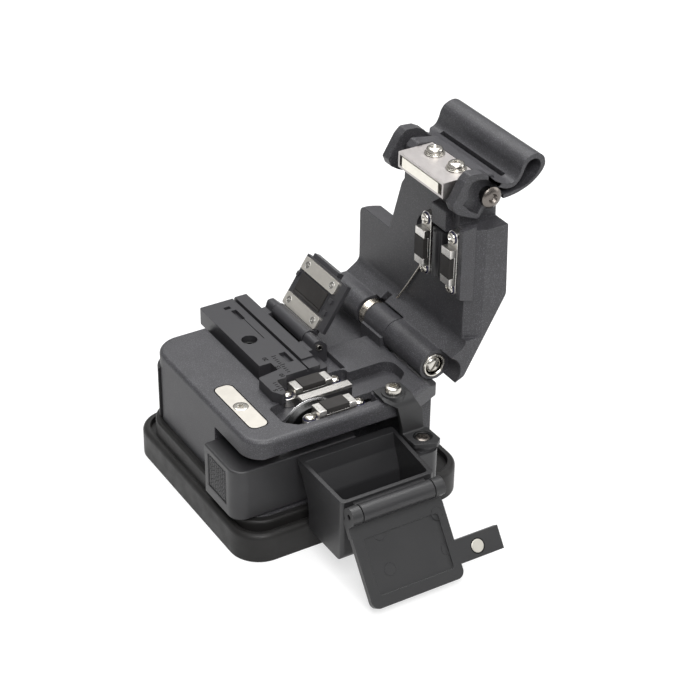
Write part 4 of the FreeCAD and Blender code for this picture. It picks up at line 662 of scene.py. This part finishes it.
def hinge_nose():
    """The bright ring in the front barrel and the slotted end of the pin inside it."""
    forward = (0, -1, 0)
    section = [(2.75, 0.2), (2.75, -3), (3.6, -3), (3.6, 0.25), (3.3, 0.5), (2.95, 0.45)]
    rounded_end = [(0, 0), (2.3, 0), (2.3, 1.5), (2.0, 1.9), (1.3, 2.15), (0, 2.25)]
    ring = bmesh.new()
    turned(ring, (HINGE_X, -25.4, HINGE_Z), forward, section, 48)
    piece("hinge_nose_ring", "lid", bright_steel, mesh_from(ring, "ring"), ("hinge_bush",))
    nose = bmesh.new()
    turned(nose, (HINGE_X, -23.6, HINGE_Z), forward, rounded_end)
    tilt = Matrix.Rotation(math.radians(-35), 2)
    slot = [tuple(tilt @ Vector(p) + Vector((HINGE_X, HINGE_Z))) for p in rectangle(-0.35, 0.35, -3, 3)]
    clear_of_end, slot_floor = -27, -25.0
    cut = bmesh.new()
    pulled(cut, slot, (clear_of_end, slot_floor), up_y)
    mesh = worked(mesh_from(nose, "nose"), mesh_from(cut, "slot"), "DIFFERENCE")
    piece("hinge_pin_nose", "base", bright_steel, mesh)


hinge_nose()

# --- pad brackets ------------------------------------------------------------------


def pad_bracket(name, body, node, y, place, foot_span, levels, seat_span, pad_span):
    """A folded nickel bracket: round-ended foot, raised seat and a bed for the rubber."""
    under, top, seat_top, bed_top = levels
    half_wide, end_round = 2.2, 1.9
    overlap, meet = 0.05, 0.01
    sides = (y - half_wide, y + half_wide)
    bm = bmesh.new()
    foot = softened([corner + (end_round,) for corner in rectangle(*foot_span, *sides)])
    pulled(bm, foot, (under, top), place)
    for start, end in ((seat_span[0], pad_span[0]), (pad_span[1], seat_span[1])):
        pulled(bm, rectangle(start, end, *sides), (top - overlap, seat_top), place)
    bed = rectangle(pad_span[0] - meet, pad_span[1] + meet, *sides)
    pulled(bm, bed, (top - overlap, bed_top), place)
    piece(name, body, nickel, mesh_from(bm, name), (node,), round_edge=0.12)


def on_lid(u, v, level):
    """For an outline in z and y on the upright lid, pulled along x."""
    return (level, v, u)


for name, y in zip(("rear", "front"), PAD_ROWS):
    pad_bracket(name + "_deck_bracket", "base", name + "_lower_bracket", y, up_z, foot_span=(-12.8, 6.2),
                levels=(33.65, 36.2, 38.8, 37.4), seat_span=(-9.2, 2.6), pad_span=(-6.9, 0.3))
    pad_bracket(name + "_lid_bracket", "lid", name + "_upper_bracket", y, on_lid, foot_span=(62.4, 81.6),
                levels=(35.6, 33.2, 31.1, 32.4), seat_span=(66.0, 77.0), pad_span=(68.4, 74.6))

# --- lid spring --------------------------------------------------------------------


def wire_form(name, points, radius):
    """A round wire that follows a line of points."""
    sides = 10
    angles = [2 * math.pi * k / sides for k in range(sides)]
    bm = bmesh.new()
    spots = [Vector(p) for p in points]
    rows = []
    side = None
    for number, spot in enumerate(spots):
        ahead = (spots[min(number + 1, len(spots) - 1)] - spots[max(number - 1, 0)]).normalized()
        side = ahead.orthogonal() if side is None else side - ahead * side.dot(ahead)
        side.normalize()
        up = ahead.cross(side)
        around = [spot + (side * math.cos(a) + up * math.sin(a)) * radius for a in angles]
        rows.append([bm.verts.new(rim * MM) for rim in around])
    for low, high in zip(rows, rows[1:]):
        strip(bm, low, high)
    bm.faces.new(rows[0])
    bm.faces.new(rows[-1])
    return mesh_from(bm, name)


def lid_spring():
    """The torsion spring between the barrels, with its leg up to the lid's rear bracket."""
    turns = 5.5
    steps = 200
    reach = 4.05
    start, long = 7.95, 3.0
    coil = []
    for step in range(steps + 1):
        angle = -math.pi * 0.5 + 2 * math.pi * turns * step / steps
        along = start - long * step / steps
        coil.append((HINGE_X + reach * math.cos(angle), along, HINGE_Z + reach * math.sin(angle)))
    leg = [(33.4, 4.7, 41.6), (34.2, 1.6, 46.4), (34.9, -1.6, 51.4), (35.2, -4.9, 56.6), (35.3, -8.0, 61.4)]
    bm = bmesh.new()
    for part_mesh in (wire_form("coil", coil, 0.25), wire_form("leg", leg, 0.28)):
        bm.from_mesh(part_mesh)
    mesh = mesh_from(bm, "spring")
    piece("lid_torsion_spring", "lid", spring_wire, mesh, ("lid_spring",), smooth=60)


lid_spring()

# --- slider's thumb grip -----------------------------------------------------------


def thumb_grip():
    """A raised frame round a panel of wavy ribs on the slider's side."""
    near, far, low, high = -23.9, -12.8, 14.4, 25.9
    face = -35.7
    thick = 0.38
    rim, groove = 0.45, 0.35
    groove_deep, crest_deep, rib_high = 0.32, 0.08, 0.24
    columns, rows = 70, 72
    bm = bmesh.new()
    grid = []
    for row in range(rows + 1):
        line = []
        for column in range(columns + 1):
            s, t = column / columns, row / rows
            y = near + (far - near) * s
            z = low + (high - low) * t
            border = min(y - near, far - y, z - low, high - z)
            bend = 1.2 * math.sin(4.3 * z + 1.6 * y) + 0.8 * math.sin(9.1 * z)
            wave = 0.5 + 0.5 * math.sin(5.6 * y + bend)
            if border < rim:
                depth = 0.0
            elif border < rim + groove:
                depth = groove_deep
            else:
                depth = crest_deep + rib_high * (1 - wave) ** 2
            line.append(bm.verts.new(Vector((face + depth, y, z)) * MM))
        grid.append(line)
    for below, above in zip(grid, grid[1:]):
        for k in range(columns):
            bm.faces.new((below[k], below[k + 1], above[k + 1], above[k]))
    far_side = [line[-1] for line in grid[1:]]
    near_side = [line[0] for line in grid[-2:0:-1]]
    edge = grid[0] + far_side + grid[-1][-2::-1] + near_side
    back = [bm.verts.new(v.co + Vector((thick * MM, 0, 0))) for v in edge]
    strip(bm, edge, back)
    bm.faces.new(back)
    mesh = mesh_from(bm, "grip")
    piece("wavy_thumb_grip", "slider", slider_plastic, mesh, ("thumb_grip",), smooth=50)


thumb_grip()

# --- scale on the adapter ----------------------------------------------------------


def lettering(name, text, centre, size, turn):
    """Numbers on the adapter's top as thin filled shapes."""
    words = bpy.data.curves.new(name, "FONT")
    words.body = text
    words.size = size * MM
    words.align_x = "CENTER"
    words.align_y = "CENTER"
    words.extrude = 0.02 * MM
    words.offset = 0.03 * MM
    holder = bpy.data.objects.new(name, words)
    scene.collection.objects.link(holder)
    graph = bpy.context.evaluated_depsgraph_get()
    mesh = bpy.data.meshes.new_from_object(holder.evaluated_get(graph), depsgraph=graph)
    bpy.data.objects.remove(holder)
    place = Matrix.Translation(Vector(centre) * MM) @ Matrix.Rotation(math.radians(turn), 4, "Z")
    mesh.transform(place)
    return mesh


def scale_marks():
    """The 5, 10, 15 and 20 marks and the ticks between them."""
    top = 40.315
    half_thick = 0.02
    half_wide = 0.14
    short_mark, long_mark = 0.95, 1.5
    bm = bmesh.new()
    for text, x, y in (("20", -10.0, 0.2), ("15", -8.9, -5.3), ("10", -10.0, -9.4), ("5", -15.2, -14.9)):
        bm.from_mesh(lettering("figure_" + text, text, (x, y, top), size=1.8, turn=90))
    ticks = [(-8.0, 0.4 - step, step % 5 == 0) for step in range(10)]
    ticks += [(-14.2, -11.6 - step, step == 3) for step in range(5)]
    for start, y, is_long in ticks:
        end = start + (long_mark if is_long else short_mark)
        tick = rectangle(start, end, y - half_wide, y + half_wide)
        pulled(bm, tick, (top - half_thick, top + half_thick), up_z)
    piece("scale_marks", "base", mark_paint, mesh_from(bm, "marks"))


scale_marks()


# --- fine marks and painted gap shadows --------------------------------------------

FLAP_OUT = Vector((0, -0.809, 0.5878))
FLAP_DOWN = Vector((0, -0.5878, -0.809))


def flush_ring(bm, centre, outward, inner, outer, turns, sunk=0.02, proud=0.03):
    """A thin square-edged ring that stands just proud of a face."""
    section = [(inner, -sunk), (outer, -sunk), (outer, proud), (inner, proud)]
    turned(bm, centre, outward, section, turns)


def flap_magnet_shadow():
    """Painted shadow in the gap round the flap's magnet: a thin black ring at the height of the flap's face
    beside it.
    """
    centre = Vector((18.4, -65.51, 7.78))
    beside = centre + Vector((2.3, 0, 0)) + FLAP_OUT * 6
    usual_height = 0.6
    found, where, _, _ = nodes["scrap_lid"].ray_cast(beside * MM, -FLAP_OUT)
    height = (where / MM - centre).dot(FLAP_OUT) if found else usual_height
    face = centre + FLAP_OUT * height
    bm = bmesh.new()
    flush_ring(bm, face, FLAP_OUT, 1.88, 2.2, 36, sunk=0.3, proud=0.02)
    # the ring is flat black standing for the shade in the gap, a painted shadow
    piece("flap_magnet_painted_shadow", "scrap_flap", shadow_black, mesh_from(bm, "ring"))


def keeper_gap_shadow():
    """Painted shadow in the gap between the keeper plate and its pocket: a thin black strip laid on the
    surface.
    """
    low, high, near, far = -27.6, -22.2, -24.0, -1.4
    gap_wide, corner_round = 0.32, 1.9
    bottom, top = 36.99, 37.03
    outlines = []
    for grow in (gap_wide, 0.0):
        corners = rectangle(low - grow, high + grow, near - grow, far + grow)
        outlines.append(softened([corner + (corner_round + grow,) for corner in corners]))
    outer, inner = outlines
    bm = bmesh.new()
    rows = [[bm.verts.new(Vector((u, v, level)) * MM) for u, v in outline]
            for outline, level in ((outer, bottom), (outer, top), (inner, top), (inner, bottom))]
    for low_row, high_row in zip(rows, rows[1:] + rows[:1]):
        strip(bm, low_row, high_row)
    # the strip is flat black standing for the shade in the gap, a painted shadow
    piece("keeper_gap_painted_shadow", "base", shadow_black, mesh_from(bm, "gap"), smooth=80)


def clamp_rings():
    """Flush round screws in the clamp strips, each an outer ring and a small inner one."""
    outward = Vector((-0.8387, 0, 0.5446))
    strip_proud = 0.32
    rings = bmesh.new()
    for x, z in ((9.14, 43.77), (15.4, 53.41)):
        for y in (6.6, 20.0):
            face = Vector((x, y, z)) + outward * strip_proud
            flush_ring(rings, face, outward, 0.97, 1.07, 32)
            flush_ring(rings, face, outward, 0.34, 0.42, 20)
    piece("clamp_screw_rings", "fibre_clamp", plain_steel, mesh_from(rings, "rings"))


def flap_discs():
    """Faint ejector discs at the corners of the flap's panel, where its face is flat."""
    flap_top = -55.0, 26.4
    flap_long = 25.8
    raised = [(1.6, -0.03), (1.85, -0.03), (1.8, 0.03), (1.65, 0.03)]
    bm = bmesh.new()
    for x in (-8.5, 9.5):
        for share in (0.36, 0.74):
            spot = Vector((x, *flap_top)) + FLAP_DOWN * (flap_long * share) + FLAP_OUT * 8
            found, where, normal, _ = nodes["scrap_lid"].ray_cast(spot * MM, -FLAP_OUT)
            if found and normal.dot(FLAP_OUT) > 0.9:
                turned(bm, where / MM, FLAP_OUT, raised, 32)
    piece("flap_ejector_discs", "scrap_flap", flap_plastic, mesh_from(bm, "discs"))


keeper_gap_shadow()
clamp_rings()
flap_magnet_shadow()
flap_discs()

# --- studio ------------------------------------------------------------------------


def area_light(name, place, aim, size, power):
    """A rectangular lamp that faces the aim."""
    lamp = bpy.data.lights.new(name, "AREA")
    lamp.shape = "RECTANGLE"
    lamp.size, lamp.size_y = size
    lamp.energy = power
    lamp_object = bpy.data.objects.new(name, lamp)
    lamp_object.location = place
    lamp_object.rotation_euler = (Vector(aim) - Vector(place)).to_track_quat("-Z", "Y").to_euler()
    scene.collection.objects.link(lamp_object)


def ray_is(board, kind):
    """1 for rays of the kind, Camera for direct views or Glossy for mirrored ones, and 0 for the rest."""
    return board.node("ShaderNodeLightPath", {}, {}, "Is " + kind + " Ray")


def pale_floor():
    """A matt floor that the camera and the mirrors see a little brighter than it is lit."""
    half = 3.0
    mesh = bpy.data.meshes.new("floor")
    mesh.from_pydata([(x, y, 0) for x, y in rectangle(-half, half, -half, half)], [], [(0, 1, 2, 3)])
    floor = bpy.data.objects.new("floor", mesh)
    scene.collection.objects.link(floor)
    material = bpy.data.materials.new("studio floor")
    b = Board(material)
    matt = {"Base Color": grey(0.42), "Roughness": 0.9, "Specular IOR Level": 0.0}
    lit = b.node("ShaderNodeBsdfPrincipled", {}, matt)
    glow = b.node("ShaderNodeEmission", {}, {"Color": grey(1.0), "Strength": 0.66})
    brighter = b.node("ShaderNodeAddShader", {}, [lit, glow])
    looked_at = ray_is(b, "Camera") + ray_is(b, "Glossy")
    surface = b.node("ShaderNodeMixShader", {}, [looked_at, lit, brighter])
    b.node("ShaderNodeOutputMaterial", {}, {"Surface": surface})
    mesh.materials.append(material)


def surround():
    """Near white to the camera, dim as a light, and brighter towards the top in the mirrors."""
    dim, full = 0.14, 1.0
    scene.world = bpy.data.worlds.new("studio surround")
    b = Board(scene.world)
    direction = b.node("ShaderNodeTexCoord", {}, {}, "Generated")
    height = b.node("ShaderNodeSeparateXYZ", {}, [direction], "Z")
    rising = b.spread(height, (-0.1, 0.9), (dim, full))
    plain = b.node("ShaderNodeBackground", {}, {"Color": grey(1.0), "Strength": dim})
    mirrored = b.node("ShaderNodeBackground", {}, {"Color": grey(0.8), "Strength": rising})
    seen = b.node("ShaderNodeBackground", {}, {"Color": grey(0.97), "Strength": full})
    inner = b.node("ShaderNodeMixShader", {}, [ray_is(b, "Glossy"), plain, mirrored])
    outer = b.node("ShaderNodeMixShader", {}, [ray_is(b, "Camera"), inner, seen])
    b.node("ShaderNodeOutputWorld", {}, {"Surface": outer})


def studio():
    """A pale floor under soft lamps, with a near-white surround."""
    pale_floor()
    surround()
    middle = (0, -0.005, 0.04)
    area_light("key", (-0.2, -0.5, 0.68), middle, size=(0.5, 0.5), power=6.4)
    area_light("top", (0.15, 0.25, 0.85), middle, size=(0.6, 0.6), power=7.2)
    area_light("side", (0.7, -0.35, 0.35), middle, size=(0.4, 0.6), power=1.8)


def camera():
    """A long lens from the front left, a little above."""
    aim = Vector((2.6, 2.0, 20.0))
    distance = 555.56
    azimuth = math.radians(-29.97)
    elevation = math.radians(33.92)
    lens = bpy.data.cameras.new("camera")
    lens.sensor_width = 36.0
    lens.lens = 98.94
    lens.shift_x = 0.0697
    lens.shift_y = 0.0769
    lens.clip_start = 0.01
    lens.clip_end = 10.0
    eye = bpy.data.objects.new("camera", lens)
    back = Vector((
        math.sin(azimuth) * math.cos(elevation),
        -math.cos(azimuth) * math.cos(elevation),
        math.sin(elevation),
    ))
    eye.location = aim * MM + back * distance * MM
    right = Vector((math.cos(azimuth), math.sin(azimuth), 0))
    turn = Matrix((right, back.cross(right), back)).transposed()
    eye.rotation_euler = turn.to_euler()
    scene.collection.objects.link(eye)
    scene.camera = eye


studio()
camera()
scene.view_settings.view_transform = "Standard"
